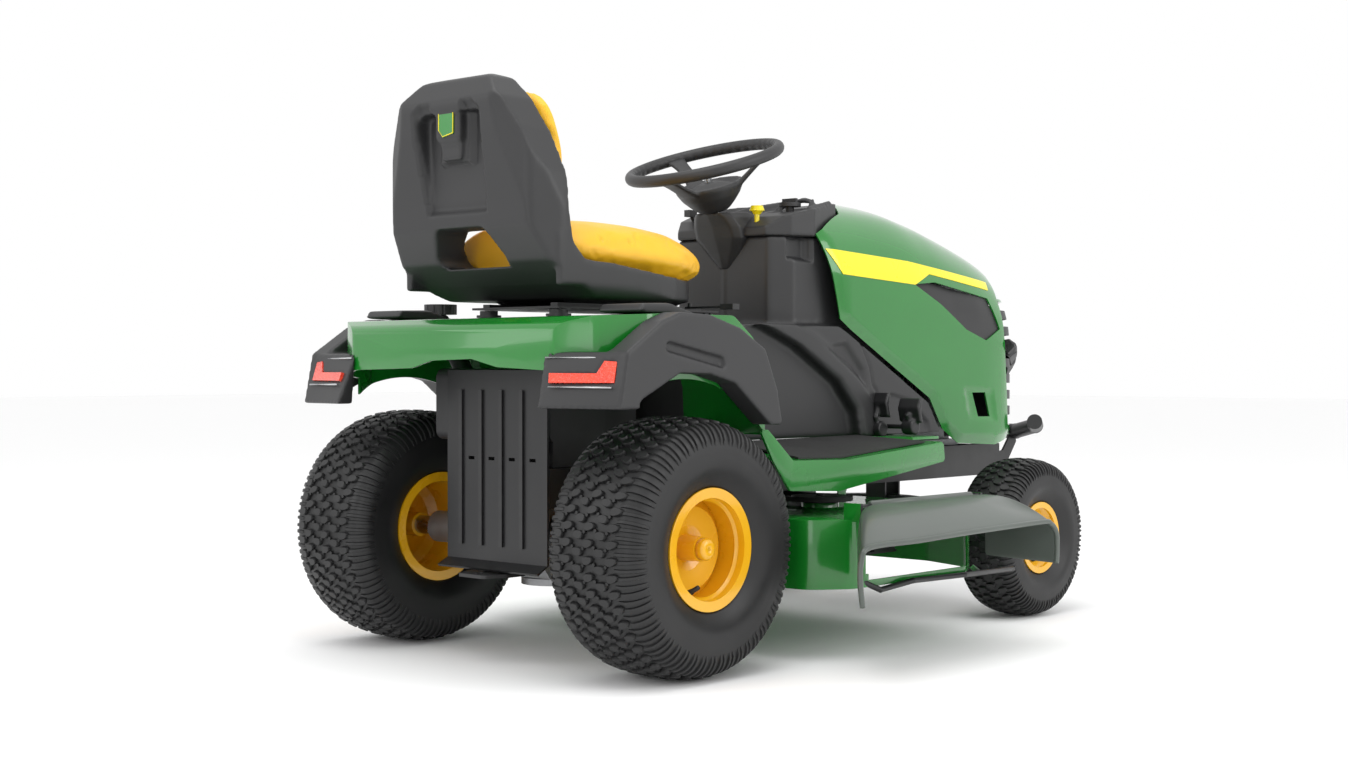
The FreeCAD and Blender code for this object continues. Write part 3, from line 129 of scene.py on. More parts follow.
# Soft mottling and fine grain over Object coordinates
mottle, given, result = value_group("mottle_and_grain", [("Tone Scale", 6), ("Grain Scale", 400)], ["Tone", "Grain"])
place = node_in(mottle, "ShaderNodeTexCoord")
broad = node_in(mottle, "ShaderNodeTexNoise", Detail=5)
fine = node_in(mottle, "ShaderNodeTexNoise", Detail=3)
spread = node_in(mottle, "ShaderNodeMapRange", From_Min=0.35, From_Max=0.68)
wired(mottle, (place, "Object", broad, "Vector"), (place, "Object", fine, "Vector"),
      (given, "Tone Scale", broad, "Scale"), (given, "Grain Scale", fine, "Scale"),
      (broad, "Fac", spread, "Value"), (spread, "Result", result, "Tone"), (fine, "Fac", result, "Grain"))


def finish_of(name, light, dark, smooth=0.3, rough=0.5, metal=0.0, coat=0.0, tone=6, grain=400, bump=0.05,
              depth=0.0004, cells=0, edge=None, highlight_amount=0.5):
    """Procedural finish: mottled colour and roughness, grain or embossing in the bump, and a painted highlight that
    lightens sharp edges.
    """
    made = bpy.data.materials.new(name)
    made.use_nodes = True
    tree = made.node_tree
    skin = tree.nodes["Principled BSDF"]
    skin.inputs["Metallic"].default_value = metal
    skin.inputs["Coat Weight"].default_value = coat
    skin.inputs["Coat Roughness"].default_value = 0.06
    pattern = tree.nodes.new("ShaderNodeGroup")
    pattern.node_tree = mottle
    pattern.inputs["Tone Scale"].default_value = tone
    pattern.inputs["Grain Scale"].default_value = grain
    colour = tree.nodes.new("ShaderNodeMix")
    colour.data_type = "RGBA"
    colour.inputs["A"].default_value = (*dark, 1)
    colour.inputs["B"].default_value = (*light, 1)
    tree.links.new(pattern.outputs["Tone"], colour.inputs["Factor"])
    shade = colour.outputs["Result"]
    # Painted highlight: where an edge colour is given, sharp edges are lightened towards it
    if edge:
        edge_highlight_node = tree.nodes.new("ShaderNodeGroup")
        edge_highlight_node.node_tree = edge_highlight
        edge_highlight_node.inputs["Amount"].default_value = highlight_amount
        over = tree.nodes.new("ShaderNodeMix")
        over.data_type = "RGBA"
        over.inputs["B"].default_value = (*edge, 1)
        tree.links.new(edge_highlight_node.outputs["Edge"], over.inputs["Factor"])
        tree.links.new(shade, over.inputs["A"])
        shade = over.outputs["Result"]
    tree.links.new(shade, skin.inputs["Base Color"])
    gloss = node_in(tree, "ShaderNodeMapRange", To_Min=smooth, To_Max=rough)
    raised = node_in(tree, "ShaderNodeBump", Strength=bump, Distance=depth)
    wired(tree, (pattern, "Tone", gloss, "Value"), (gloss, "Result", skin, "Roughness"),
          (raised, "Normal", skin, "Normal"))
    if cells:
        pebble = tree.nodes.new("ShaderNodeGroup")
        pebble.node_tree = embossed
        pebble.inputs["Scale"].default_value = cells
        tree.links.new(pebble.outputs["Height"], raised.inputs["Height"])
    else:
        tree.links.new(pattern.outputs["Grain"], raised.inputs["Height"])
    return made


def piece_of(name, points, faces, finish, smooth=True):
    """New object at the origin with this mesh, its faces turned outwards."""
    mesh = bpy.data.meshes.new(name)
    mesh.from_pydata([tuple(p) for p in points], [], faces)
    shape = bmesh.new()
    shape.from_mesh(mesh)
    bmesh.ops.remove_doubles(shape, verts=shape.verts, dist=1e-5)
    bmesh.ops.recalc_face_normals(shape, faces=shape.faces)
    shape.to_mesh(mesh)
    shape.free()
    mesh.materials.append(finish)
    if smooth:
        mesh.shade_smooth()
    piece = bpy.data.objects.new(name, mesh)
    bpy.context.scene.collection.objects.link(piece)
    return piece


def settle(piece):
    """Turns the piece with its modifiers into one plain mesh."""
    bpy.context.view_layer.update()
    ready = piece.evaluated_get(bpy.context.evaluated_depsgraph_get())
    mesh = bpy.data.meshes.new_from_object(ready)
    piece.modifiers.clear()
    piece.data = mesh
    return piece


def grid_faces(rows, count, closed=True, ring=False):
    """Faces between rows of points; closed joins a row's ends, ring joins the last row to the first."""
    faces = []
    for row in range(rows if ring else rows - 1):
        here, after = row * count, (row + 1) % rows * count
        for i in range(count if closed else count - 1):
            j = (i + 1) % count
            faces.append((here + i, here + j, after + j, after + i))
    return faces


def lathe(name, outline, centre, finish, steps=96):
    """Closed outline of (x, radius) spun about an axle along X."""
    points = []
    for step in range(steps):
        turn = 2 * math.pi * step / steps
        for x, radius in outline:
            points.append((centre[0] + x, centre[1] + radius * math.sin(turn), centre[2] + radius * math.cos(turn)))
    return piece_of(name, points, grid_faces(steps, len(outline), ring=True), finish)


def round_the_axle_tree():
    """Geometry Nodes: the object's own mesh repeated round an axle and moved to its centre."""
    tree = bpy.data.node_groups.new("round_the_axle", "GeometryNodeTree")
    for label, kind in (("Geometry", "Geometry"), ("Count", "Int"), ("Axle", "Vector"), ("Centre", "Vector"),
                        ("Finish", "Material")):
        tree.interface.new_socket(label, in_out="INPUT", socket_type="NodeSocket" + kind)
    tree.interface.new_socket("Geometry", in_out="OUTPUT", socket_type="NodeSocketGeometry")
    nodes, links = tree.nodes, tree.links
    given = nodes.new("NodeGroupInput")
    result = nodes.new("NodeGroupOutput")
    line = nodes.new("GeometryNodeMeshLine")
    line.inputs["Offset"].default_value = (0, 0, 0)
    index = nodes.new("GeometryNodeInputIndex")
    share = nodes.new("ShaderNodeMath")
    share.operation = "DIVIDE"
    turn = nodes.new("ShaderNodeMath")
    turn.operation = "MULTIPLY"
    turn.inputs[1].default_value = 2 * math.pi
    spin = nodes.new("FunctionNodeAxisAngleToRotation")
    place = nodes.new("GeometryNodeInstanceOnPoints")
    real = nodes.new("GeometryNodeRealizeInstances")
    move = nodes.new("GeometryNodeTransform")
    cover = nodes.new("GeometryNodeSetMaterial")
    links.new(given.outputs["Count"], line.inputs["Count"])
    links.new(index.outputs["Index"], share.inputs[0])
    links.new(given.outputs["Count"], share.inputs[1])
    links.new(share.outputs["Value"], turn.inputs[0])
    links.new(given.outputs["Axle"], spin.inputs["Axis"])
    links.new(turn.outputs["Value"], spin.inputs["Angle"])
    links.new(line.outputs["Mesh"], place.inputs["Points"])
    links.new(given.outputs["Geometry"], place.inputs["Instance"])
    links.new(spin.outputs["Rotation"], place.inputs["Rotation"])
    links.new(place.outputs["Instances"], move.inputs["Geometry"])
    links.new(given.outputs["Centre"], move.inputs["Translation"])
    links.new(move.outputs["Geometry"], real.inputs["Geometry"])
    links.new(real.outputs["Geometry"], cover.inputs["Geometry"])
    links.new(given.outputs["Finish"], cover.inputs["Material"])
    links.new(cover.outputs["Geometry"], result.inputs["Geometry"])
    return tree


axle_tree = round_the_axle_tree()


def use_tree(piece, tree, values):
    """Puts the tree on the piece with these named inputs and settles the result."""
    step = piece.modifiers.new("repeat", "NODES")
    step.node_group = tree
    for item in tree.interface.items_tree:
        if item.in_out == "INPUT" and item.name in values:
            step[item.identifier] = values[item.name]
    return settle(piece)


def lug_block(points, faces, outline, x, along, floor_of, height, taper=0.86):
    """Adds one rounded tread block that stands on the casing."""
    base = len(points)
    count = len(outline)
    for level, size in ((-1.5e-3, 1.02), (height * 0.74, 0.95), (height, taper)):
        for u, v in outline:
            px = x + u * size
            points.append((px, along + v * size, floor_of(px) + level))
    for ring in range(2):
        for i in range(count):
            j = (i + 1) % count
            a = base + ring * count
            faces.append((a + i, a + j, a + count + j, a + count + i))
    faces.append(tuple(base + 2 * count + i for i in range(count)))


REAR_R = 0.254
FRONT_R = 0.1905
FRONT_AXLE = -1.242


def turf_tyre(name, body, centre, crown, width, crown_half, columns, pitches, lug, finish):
    """Casing, lugs and shoulder ribs of one tyre; crown is the radius over the lugs."""
    half = width / 2
    height = 0.0072 * crown / REAR_R
    under = crown - height

    def floor_of(x):
        return under - 0.006 * (abs(x) / crown_half) ** 2.4

    shoulder = []
    side_r = crown * 0.735
    for i in range(9):
        turn = math.pi / 2 * i / 8
        shoulder.append((crown_half + (half - crown_half - 0.0015) * math.sin(turn) ** 0.92,
                         side_r + (floor_of(crown_half) - side_r) * math.cos(turn) ** 0.85))
    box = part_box("rear_rim_right" if crown > 0.22 else "front_rim_right")
    seat_r = (box[1].z - box[0].z) / 2
    rim_half = (box[1].x - box[0].x) / 2
    wall = [(half - 0.002, crown * 0.70), (half - 0.001, crown * 0.64), (half - 0.006, crown * 0.585),
            (half - 0.012, (crown * 0.58 + seat_r) / 2 + 0.004), (rim_half + 0.0005, seat_r + 0.006),
            (rim_half - 0.003, seat_r + 0.0015), (rim_half - 0.012, seat_r - 0.001)]
    side = shoulder + wall
    crown_points = [(x * crown_half / 4, floor_of(x * crown_half / 4)) for x in range(-3, 4)]
    inner = [(rim_half - 0.012, seat_r - 0.008), (-rim_half + 0.012, seat_r - 0.008)]
    outline = crown_points + side + inner + [(-x, r) for x, r in reversed(side)]
    casing = lathe(name + "_casing", outline, centre, finish, 120)

    points = []
    faces = []
    step = 2 * math.pi * crown / pitches
    for number, x in enumerate(columns):
        shift = step * (0.25 if number % 2 else -0.25)
        flip = 1 if number % 2 else -1
        blob = []
        for i in range(12):
            turn = 2 * math.pi * i / 12
            pull = 1 - 0.34 * max(0.0, math.cos(turn - 0.9)) ** 3
            blob.append((flip * lug[0] / 2 * pull * math.copysign(abs(math.cos(turn)) ** 0.75, math.cos(turn)),
                         lug[1] / 2 * pull * math.copysign(abs(math.sin(turn)) ** 0.75, math.sin(turn))))
        lug_block(points, faces, blob, x, shift, floor_of, height)
        dot = [(0.0042 * math.cos(i * math.pi / 3), 0.0042 * math.sin(i * math.pi / 3)) for i in range(6)]
        if number < len(columns) - 1:
            lug_block(points, faces, dot, (x + columns[number + 1]) / 2, -shift * 0.2, floor_of, height * 0.6)
    rib_path = [(crown_half - 0.006, floor_of(crown_half - 0.006))] + shoulder[1:8]
    for side_sign in (-1, 1):
        for rib_shift in (-step / 4, step / 4):
            base = len(points)
            for place, (x, r) in enumerate(rib_path):
                before = rib_path[max(place - 1, 0)]
                after = rib_path[min(place + 1, len(rib_path) - 1)]
                run = Vector((after[0] - before[0], after[1] - before[1])).normalized()
                out = Vector((-run.y, run.x))
                if out.y < 0 and out.x < 0:
                    out = -out
                rise = 0.0036 * (1 if 0 < place < len(rib_path) - 1 else 0.1)
                thin = 0.0046 * crown / REAR_R * (r / crown)
                for across, lift in ((-thin, -0.001), (-thin * 0.62, rise), (thin * 0.62, rise), (thin, -0.001)):
                    px = x + out.x * lift
                    pr = min(r + out.y * lift, crown)
                    points.append((side_sign * min(px, half), rib_shift + across, pr))
            for place in range(len(rib_path) - 1):
                for i in range(3):
                    a = base + place * 4 + i
                    faces.append((a, a + 1, a + 5, a + 4))
    pitch = piece_of(name + "_tread", points, faces, finish)
    tread = use_tree(pitch, axle_tree, {"Count": pitches, "Axle": (1.0, 0.0, 0.0), "Centre": centre,
                                        "Finish": finish})
    tread.data.set_sharp_from_angle(angle=math.radians(40))
    casing.data.set_sharp_from_angle(angle=math.radians(50))
    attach(casing, body)
    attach(tread, body)
    return casing


def valve_bits(foot, tip, sides=12):
    """Tapered rubber stem with a narrower cap."""
    ahead = (tip - foot).normalized()
    across = ahead.cross(Vector((1, 0.2, 0))).normalized()
    up = ahead.cross(across)
    length = (tip - foot).length
    spots = []
    for share, r in ((0.0, 0.0082), (0.10, 0.0080), (0.55, 0.0056), (0.57, 0.0050), (0.96, 0.0048), (1.0, 0.0038)):
        for k in range(sides):
            a = 2 * math.pi * k / sides
            spots.append(foot + ahead * length * share + (across * math.cos(a) + up * math.sin(a)) * r)
    return spots, grid_faces(6, sides) + [tuple(range(sides)), tuple(5 * sides + k for k in reversed(range(sides)))]


tyre_rubber = finish_of("tyre_rubber", (0.0095, 0.0095, 0.010), (0.006, 0.006, 0.0065), 0.42, 0.58, tone=9,
                        grain=700, bump=0.25, depth=0.0004)
for side in ("right", "left"):
    sign = -1 if side == "right" else 1
    rear = turf_tyre("rear_tyre_" + side, "rear_wheel_" + side, (sign * 0.3926, 0.0, REAR_R), REAR_R, 0.238, 0.078,
                     [-0.070, -0.042, -0.014, 0.014, 0.042, 0.070], 50, (0.0262, 0.0185), tyre_rubber)
    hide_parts("rear_tyre_" + side)
    front = turf_tyre("front_tyre_" + side, "front_wheel_" + side, (sign * 0.41, FRONT_AXLE, FRONT_R), FRONT_R,
                      0.150, 0.048, [-0.040, -0.0135, 0.0135, 0.040], 44, (0.0240, 0.0160), tyre_rubber)
    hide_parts("front_tyre_" + side)

# ---- Wheels: yellow pressed rims with a stepped well, domed axle caps and a black rubber valve stem
yellow_steel = finish_of("yellow_painted_steel", (0.80, 0.42, 0.007), (0.74, 0.37, 0.006), 0.24, 0.34, coat=0.45,
                         tone=6, grain=180, bump=0.08)
wheel_cap_outline = [(0.0, 0.0), (0.0, 0.0215), (0.012, 0.0215), (0.0165, 0.0190), (0.0185, 0.0130),
                     (0.0192, 0.0)]
valve_rubber = finish_of("valve_rubber", (0.010, 0.010, 0.010), (0.006, 0.006, 0.006), 0.45, 0.55, tone=30)
for side in ("right", "left"):
    sign = -1 if side == "right" else 1
    low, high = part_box("rear_axle_" + side)
    tip = low.x if sign < 0 else high.x
    outline = [(tip - sign * 0.007 + sign * x, max(r, 0.0004)) for x, r in wheel_cap_outline]
    cap = lathe("rear_axle_cap_" + side, outline, (0, 0, REAR_R), yellow_steel, 36)
    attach(cap, "rear_wheel_" + side)
    for end, body, at, flange in (("rear", "rear_wheel_", (0, REAR_R), 0.1188),
                                  ("front", "front_wheel_", (FRONT_AXLE, FRONT_R), 0.086)):
        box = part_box(end + "_rim_" + side)
        face = box[0].x if sign < 0 else box[1].x
        well = flange - 0.0165
        step = [(face - sign * 0.004, well + 0.004), (face - sign * 0.016, well - 0.001),
                (face - sign * 0.020, well - 0.010), (face - sign * 0.0225, well - 0.010),
                (face - sign * 0.022, well + 0.003), (face - sign * 0.006, well + 0.007)]
        ledge = lathe(f"{end}_rim_step_{side}", step, (0, *at), yellow_steel, 96)
        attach(ledge, body + side)
        stem_turn = math.radians(160 if end == "rear" else 200)
        reach = Vector((0, math.sin(stem_turn), math.cos(stem_turn)))
        foot = Vector((face - sign * 0.040, *at)) + reach * (well - 0.008)
        tip_at = foot + Vector((sign * 0.030, 0, 0)) - reach * 0.020
        stem = piece_of(f"{end}_valve_{side}", *valve_bits(foot, tip_at), valve_rubber)
        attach(stem, body + side)

# ---- Hood: one glossy green moulding that tilts forward, with a V-shaped rear edge round the dash,
# a chamfered lower flange, side vents, a raised yellow band each side and a wrap-round black grille.
# Painted highlight: lighter colour on sharp edges, from how sharply the surface turns, broken up by noise
edge_highlight, given, result = value_group("painted_edge_highlights", [("Amount", 0.5)], ["Edge"])
turn = node_in(edge_highlight, "ShaderNodeNewGeometry")
ramp = node_in(edge_highlight, "ShaderNodeMapRange", From_Min=0.53, From_Max=0.62)
place = node_in(edge_highlight, "ShaderNodeTexCoord")
breakup = node_in(edge_highlight, "ShaderNodeTexNoise", Scale=35)
highlight_broken = node_in(edge_highlight, "ShaderNodeMath")
highlight_broken.operation = "MULTIPLY"
shown = node_in(edge_highlight, "ShaderNodeMath")
shown.operation = "MULTIPLY"
wired(edge_highlight, (turn, "Pointiness", ramp, "Value"), (place, "Object", breakup, "Vector"), (ramp, "Result", highlight_broken, 0),
      (breakup, "Fac", highlight_broken, 1), (highlight_broken, "Value", shown, 0), (given, "Amount", shown, 1),
      (shown, "Value", result, "Edge"))
GREEN = (0.006, 0.185, 0.016)
GREEN_DEEP = (0.005, 0.165, 0.014)
# Painted highlight: the edge colours of both mouldings lighten their sharp edges
green_moulding = finish_of("green_moulding", GREEN, GREEN_DEEP, 0.16, 0.24, coat=0.6, tone=3, grain=220, bump=0.04,
                           edge=(0.04, 0.32, 0.05), highlight_amount=0.3)
dark_moulding = finish_of("dark_moulding", (0.024, 0.024, 0.0252), (0.019, 0.019, 0.020), 0.44, 0.54, tone=4,
                          grain=900, bump=0.22, depth=0.0003, edge=(0.05, 0.05, 0.053), highlight_amount=0.5)
yellow_moulding = finish_of("yellow_moulding", (0.90, 0.74, 0.006), (0.85, 0.68, 0.006), 0.25, 0.32, coat=0.3,
                            tone=12, grain=500, bump=0.05)
HOOD_PLACES = [(-0.690, 0.232, 1.008), (-1.000, 0.232, 1.003), (-1.150, 0.232, 0.982), (-1.270, 0.232, 0.954),
               (-1.400, 0.231, 0.918), (-1.480, 0.222, 0.892), (-1.540, 0.194, 0.868), (-1.595, 0.152, 0.840),
               (-1.626, 0.118, 0.812), (-1.639, 0.092, 0.780)]
HOOD_LOWER = [(-0.600, 1.060), (-0.711, 0.912), (-0.763, 0.713), (-0.802, 0.690), (-1.127, 0.526), (-1.182, 0.449),
              (-1.250, 0.412), (-1.426, 0.403), (-1.540, 0.424), (-1.700, 0.440), (-1.700, 1.060)]
HOOD_NOTCH = [(-0.300, -0.600), (-0.206, -0.690), (-0.200, -0.712), (-0.150, -0.853), (0.0, -1.002),
              (0.150, -0.853), (0.200, -0.712), (0.206, -0.690), (0.300, -0.600)]
HOOD_VENT = [(-1.052, 0.803), (-1.142, 0.811), (-1.391, 0.778), (-1.438, 0.700), (-1.367, 0.670),
             (-1.275, 0.697), (-1.164, 0.757)]
HOOD_BAND = [(-0.724, 0.875), (-0.762, 0.817), (-1.052, 0.802), (-1.120, 0.830), (-1.409, 0.799),
             (-1.419, 0.820), (-1.035, 0.858)]
HOOD_SLOT = [(-1.308, 0.538), (-1.368, 0.538), (-1.391, 0.476), (-1.335, 0.477)]
SLOT_RECESS = [(-1.262, 0.556), (-1.405, 0.546), (-1.425, 0.462), (-1.288, 0.470)]
HOOD_FACE = [(-1.452, 0.772), (-1.474, 0.600), (-1.492, 0.452), (-1.700, 0.452), (-1.700, 0.772)]
LAMP_FACE = [(-1.470, 0.840), (-1.452, 0.778), (-1.700, 0.778), (-1.700, 0.826)]


def flowing(points, parts):
    """Smooth curve through the points (Catmull-Rom), with this many steps between each two."""
    line = [Vector(p) for p in points]
    line = [line[0] * 2 - line[1]] + line + [line[-1] * 2 - line[-2]]
    result = []
    for a, b, c, d in zip(line, line[1:], line[2:], line[3:]):
        for i in range(parts):
            t = i / parts
            result.append(0.5 * ((2 * b) + (c - a) * t + (2 * a - 5 * b + 4 * c - d) * t * t
                                 + (3 * b - a - 3 * c + d) * t ** 3))
    result.append(line[-2].copy())
    return result


def inside(outline, u, v):
    """Whether the point lies inside the closed outline."""
    hit = False
    for (ua, va), (ub, vb) in zip(outline, outline[1:] + outline[:1]):
        if (va > v) != (vb > v) and u < (ub - ua) * (v - va) / (vb - va) + ua:
            hit = not hit
    return hit


def cut_lines(shape, outline, axis, keep=lambda centre: True):
    """Cuts the sheet along every side of the outline, seen along X (axis 0) or Z (axis 2)."""
    for (ua, va), (ub, vb) in zip(outline, outline[1:] + outline[:1]):
        low_u, high_u = min(ua, ub) - 0.012, max(ua, ub) + 0.012
        low_v, high_v = min(va, vb) - 0.012, max(va, vb) + 0.012
        chosen = []
        for face in shape.faces:
            centre = face.calc_center_median()
            u, v = (centre.y, centre.z) if axis == 0 else (centre.x, centre.y)
            if low_u < u < high_u and low_v < v < high_v and keep(centre):
                chosen.append(face)
        if axis == 0:
            corner, along = Vector((0, ua, va)), Vector((0, ub - ua, vb - va))
            normal = along.cross(Vector((1, 0, 0)))
        else:
            corner, along = Vector((ua, va, 0)), Vector((ub - ua, vb - va, 0))
            normal = along.cross(Vector((0, 0, 1)))
        edges = {edge for face in chosen for edge in face.edges}
        corners = {vert for face in chosen for vert in face.verts}
        bmesh.ops.bisect_plane(shape, geom=chosen + list(edges) + list(corners), dist=1e-6, plane_co=corner,
                               plane_no=normal.normalized())


def hood_sheet():
    """The hood's whole outer surface, before anything is cut out of it."""
    rows = []
    for y, half, top in flowing(HOOD_PLACES, 9):
        ring = [(-half, 0.398), (-half, 0.47), (-half, 0.56), (-half, 0.65), (-half, top - 0.230),
                (-0.974 * half, top - 0.165), (-0.862 * half, top - 0.098), (-0.647 * half, top - 0.041),
                (-0.35 * half, top - 0.011), (0, top)]
        ring = [(x, max(z, 0.398)) for x, z in ring]
        ring = ring + [(-x, z) for x, z in reversed(ring[:-1])]
        rows.append([Vector((p[0], y, p[1])) for p in flowing(ring, 7)])
    count = len(rows[0])
    front = rows[-1]
    for share in (0.8, 0.5, 0.2):
        rows.append([Vector((p.x * share, p.y - 0.0008 * (1 - share), p.z - (1 - share) * 0.004)) for p in front])
    points = [p for row in rows for p in row]
    faces = []
    for r in range(len(rows) - 1):
        for i in range(count - 1):
            a = r * count + i
            faces.append((a, a + count, a + count + 1, a + 1))
    last = (len(rows) - 1) * count
    for i in range((count - 1) // 2):
        faces.append((last + i, last + count - 1 - i, last + count - 2 - i, last + i + 1))
    return points, faces


def distance_below(outline, y, z):
    """How far the point lies inside the hood's lower edge."""
    best = 1.0
    for (ua, va), (ub, vb) in zip(outline[1:-3], outline[2:-2]):
        along = Vector((ub - ua, vb - va))
        out = Vector((y - ua, z - va))
        share = max(0.0, min(1.0, out.dot(along) / along.length_squared))
        best = min(best, (out - along * share).length)
    return best


def inner_line(outline, inset):
    """The same open line, this far inside the hood."""
    moved = []
    for i in range(1, len(outline) - 2):
        a, b, c = (Vector(outline[k]) for k in (i - 1, i, i + 1))
        left = Vector((-(b - a).y, (b - a).x)).normalized()
        right = Vector((-(c - b).y, (c - b).x)).normalized()
        across = (left + right).normalized()
        moved.append(b - across * inset / max(0.5, across.dot(left)))
    return [(p.x, p.y) for p in moved]


def extract(shape, name, finish, wanted, lift, wall):
    """Copies the wanted faces of the sheet to a piece of their own, lifted and thickened."""
    copy = shape.copy()
    bmesh.ops.delete(copy, geom=[f for f in copy.faces if not wanted(f.calc_center_median())], context="FACES")
    for vert in copy.verts:
        vert.co += vert.normal * lift
    mesh = bpy.data.meshes.new(name)
    copy.to_mesh(mesh)
    copy.free()
    mesh.materials.append(finish)
    mesh.shade_smooth()
    piece = bpy.data.objects.new(name, mesh)
    bpy.context.scene.collection.objects.link(piece)
    thick = piece.modifiers.new("wall", "SOLIDIFY")
    thick.thickness = wall
    thick.offset = -1
    settle(piece)
    piece.data.set_sharp_from_angle(angle=math.radians(35))
    return piece


points, faces = hood_sheet()
sheet_mesh = bpy.data.meshes.new("hood_sheet")
sheet_mesh.from_pydata([tuple(p) for p in points], [], faces)
sheet = bmesh.new()
sheet.from_mesh(sheet_mesh)
bmesh.ops.remove_doubles(sheet, verts=sheet.verts, dist=1e-5)
bmesh.ops.recalc_face_normals(sheet, faces=sheet.faces)
on_side = lambda centre: abs(centre.x) > 0.16
FLANGE = 0.024
crease = inner_line(HOOD_LOWER, FLANGE)
for outline in (HOOD_LOWER, crease):
    cut_lines(sheet, outline, 0)
for outline in (HOOD_VENT, HOOD_BAND, HOOD_SLOT, SLOT_RECESS):
    cut_lines(sheet, outline, 0, on_side)
cut_lines(sheet, HOOD_NOTCH, 2, lambda centre: centre.z > 0.68)
cut_lines(sheet, HOOD_FACE, 0)
cut_lines(sheet, LAMP_FACE, 0)
GRILLE_BARS = [(0.478 + 0.0415 * i, 0.500 + 0.0415 * i) for i in range(7)]
for low, high in GRILLE_BARS:
    cut_lines(sheet, [(-1.44, low), (-1.70, low), (-1.70, high), (-1.44, high)], 0)
bmesh.ops.delete(sheet, geom=[f for f in sheet.faces
                              if not inside(HOOD_LOWER, f.calc_center_median().y, f.calc_center_median().z)
                              or (inside(HOOD_NOTCH, f.calc_center_median().x, f.calc_center_median().y)
                                  and f.calc_center_median().z > 0.70)], context="FACES")
for vert in sheet.verts:
    edge = distance_below(HOOD_LOWER, vert.co.y, vert.co.z)
    if edge < FLANGE and abs(vert.co.x) > 0.10:
        vert.co.x -= math.copysign(0.009 * (1 - edge / FLANGE), vert.co.x)
for vert in sheet.verts:
    if on_side(vert.co) and inside(SLOT_RECESS, vert.co.y, vert.co.z):
        depth = min(1.0, distance_below(SLOT_RECESS + SLOT_RECESS[:4], vert.co.y, vert.co.z) / 0.012)
        vert.co.x -= math.copysign(0.004 * depth, vert.co.x)
bmesh.ops.recalc_face_normals(sheet, faces=sheet.faces)
sheet.normal_update()
if sum(f.normal.z for f in sheet.faces if f.calc_center_median().z > 0.9) < 0:
    bmesh.ops.reverse_faces(sheet, faces=sheet.faces)
    sheet.normal_update()


def in_side(outline, centre):
    return on_side(centre) and inside(outline, centre.y, centre.z)


def in_face(centre):
    return inside(HOOD_FACE, centre.y, centre.z)


def in_lamp(centre):
    return inside(LAMP_FACE, centre.y, centre.z) and abs(centre.x) > 0.0


hood_skin = extract(sheet, "hood_skin", green_moulding, lambda c: not (
    in_side(HOOD_VENT, c) or in_side(HOOD_SLOT, c) or in_face(c) or in_lamp(c)), 0, 0.004)
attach(hood_skin, "hood")
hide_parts("hood_shell")

hood_band = extract(sheet, "hood_side_bands", yellow_moulding, lambda c: in_side(HOOD_BAND, c), 0.0016, 0.0014)
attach(hood_band, "hood")
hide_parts("hood_stripes")

vent_plate = extract(sheet, "hood_vent_plates", dark_moulding, lambda c: in_side(HOOD_VENT, c), -0.005, 0.003)
for vert in vent_plate.data.vertices:
    y, z = vert.co.y, vert.co.z
    sink = max(0.0, min(1.0, (y + 1.34) / 0.10)) * max(0.0, min(1.0, (z - 0.69) / 0.05))
    vert.co.x -= math.copysign(0.010 * sink, vert.co.x)
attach(vent_plate, "hood")
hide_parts("hood_side_vents")

grille_back = extract(sheet, "hood_grille_back", dark_moulding, in_face, -0.016, 0.003)
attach(grille_back, "hood")
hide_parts("hood_grille")
grille_bars = extract(sheet, "hood_grille_bars", dark_moulding, lambda c: in_face(c) and any(
    low < c.z < high for low, high in GRILLE_BARS), 0, 0.015)
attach(grille_bars, "hood")

lamp_glass = finish_of("lamp_lens", (0.72, 0.74, 0.76), (0.55, 0.57, 0.60), 0.08, 0.14, coat=0.8, tone=14, grain=60,
                       bump=0.3, depth=0.001)
lamps = extract(sheet, "headlamp_lenses", lamp_glass, in_lamp, -0.0008, 0.008)
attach(lamps, "hood")
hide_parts("headlamps")
sheet.free()

# ---- Seat: a blow-moulded bucket with a hand hole and a recessed back panel, yellow vinyl cushions
# over foam, on two slide rails. The blank badge plate sits on a boss in the recess.
def loose_copy(node, name):
    """Merged copy of a node's mesh as an object of its own."""
    mesh = frame["nodes"][node].data.copy()
    mesh.materials.clear()
    shape = bmesh.new()
    shape.from_mesh(mesh)
    bmesh.ops.remove_doubles(shape, verts=shape.verts, dist=2e-5)
    shape.to_mesh(mesh)
    shape.free()
    mesh.name = name
    piece = bpy.data.objects.new(name, mesh)
    bpy.context.scene.collection.objects.link(piece)
    return piece


def add_bits(piece, bits):
    """Adds closed (points, faces) bits to the piece's mesh; the skinning step welds them on."""
    shape = bmesh.new()
    shape.from_mesh(piece.data)
    for points, faces in bits:
        verts = [shape.verts.new(p) for p in points]
        new = [shape.faces.new([verts[i] for i in face]) for face in faces]
        bmesh.ops.recalc_face_normals(shape, faces=new)
    shape.to_mesh(piece.data)
    shape.free()


def skinned(piece, finish, voxel, rounds, factor=0.5):
    """One skin over the shape with its edges softened, as a moulding has them."""
    skin = piece.modifiers.new("skin", "REMESH")
    skin.mode = "VOXEL"
    skin.voxel_size = voxel
    skin.use_smooth_shade = True
    soft = piece.modifiers.new("soft", "SMOOTH")
    soft.factor = factor
    soft.iterations = rounds
    settle(piece)
    piece.data.materials.clear()
    piece.data.materials.append(finish)
    piece.data.shade_smooth()
    return piece


def moulding(name, node, body, finish, voxel, rounds):
    """A CAD node's shape as a soft-edged moulding that stands for it."""
    piece = loose_copy(node, name)
    skinned(piece, finish, voxel, rounds)
    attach(piece, body)
    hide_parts(node)
    return piece


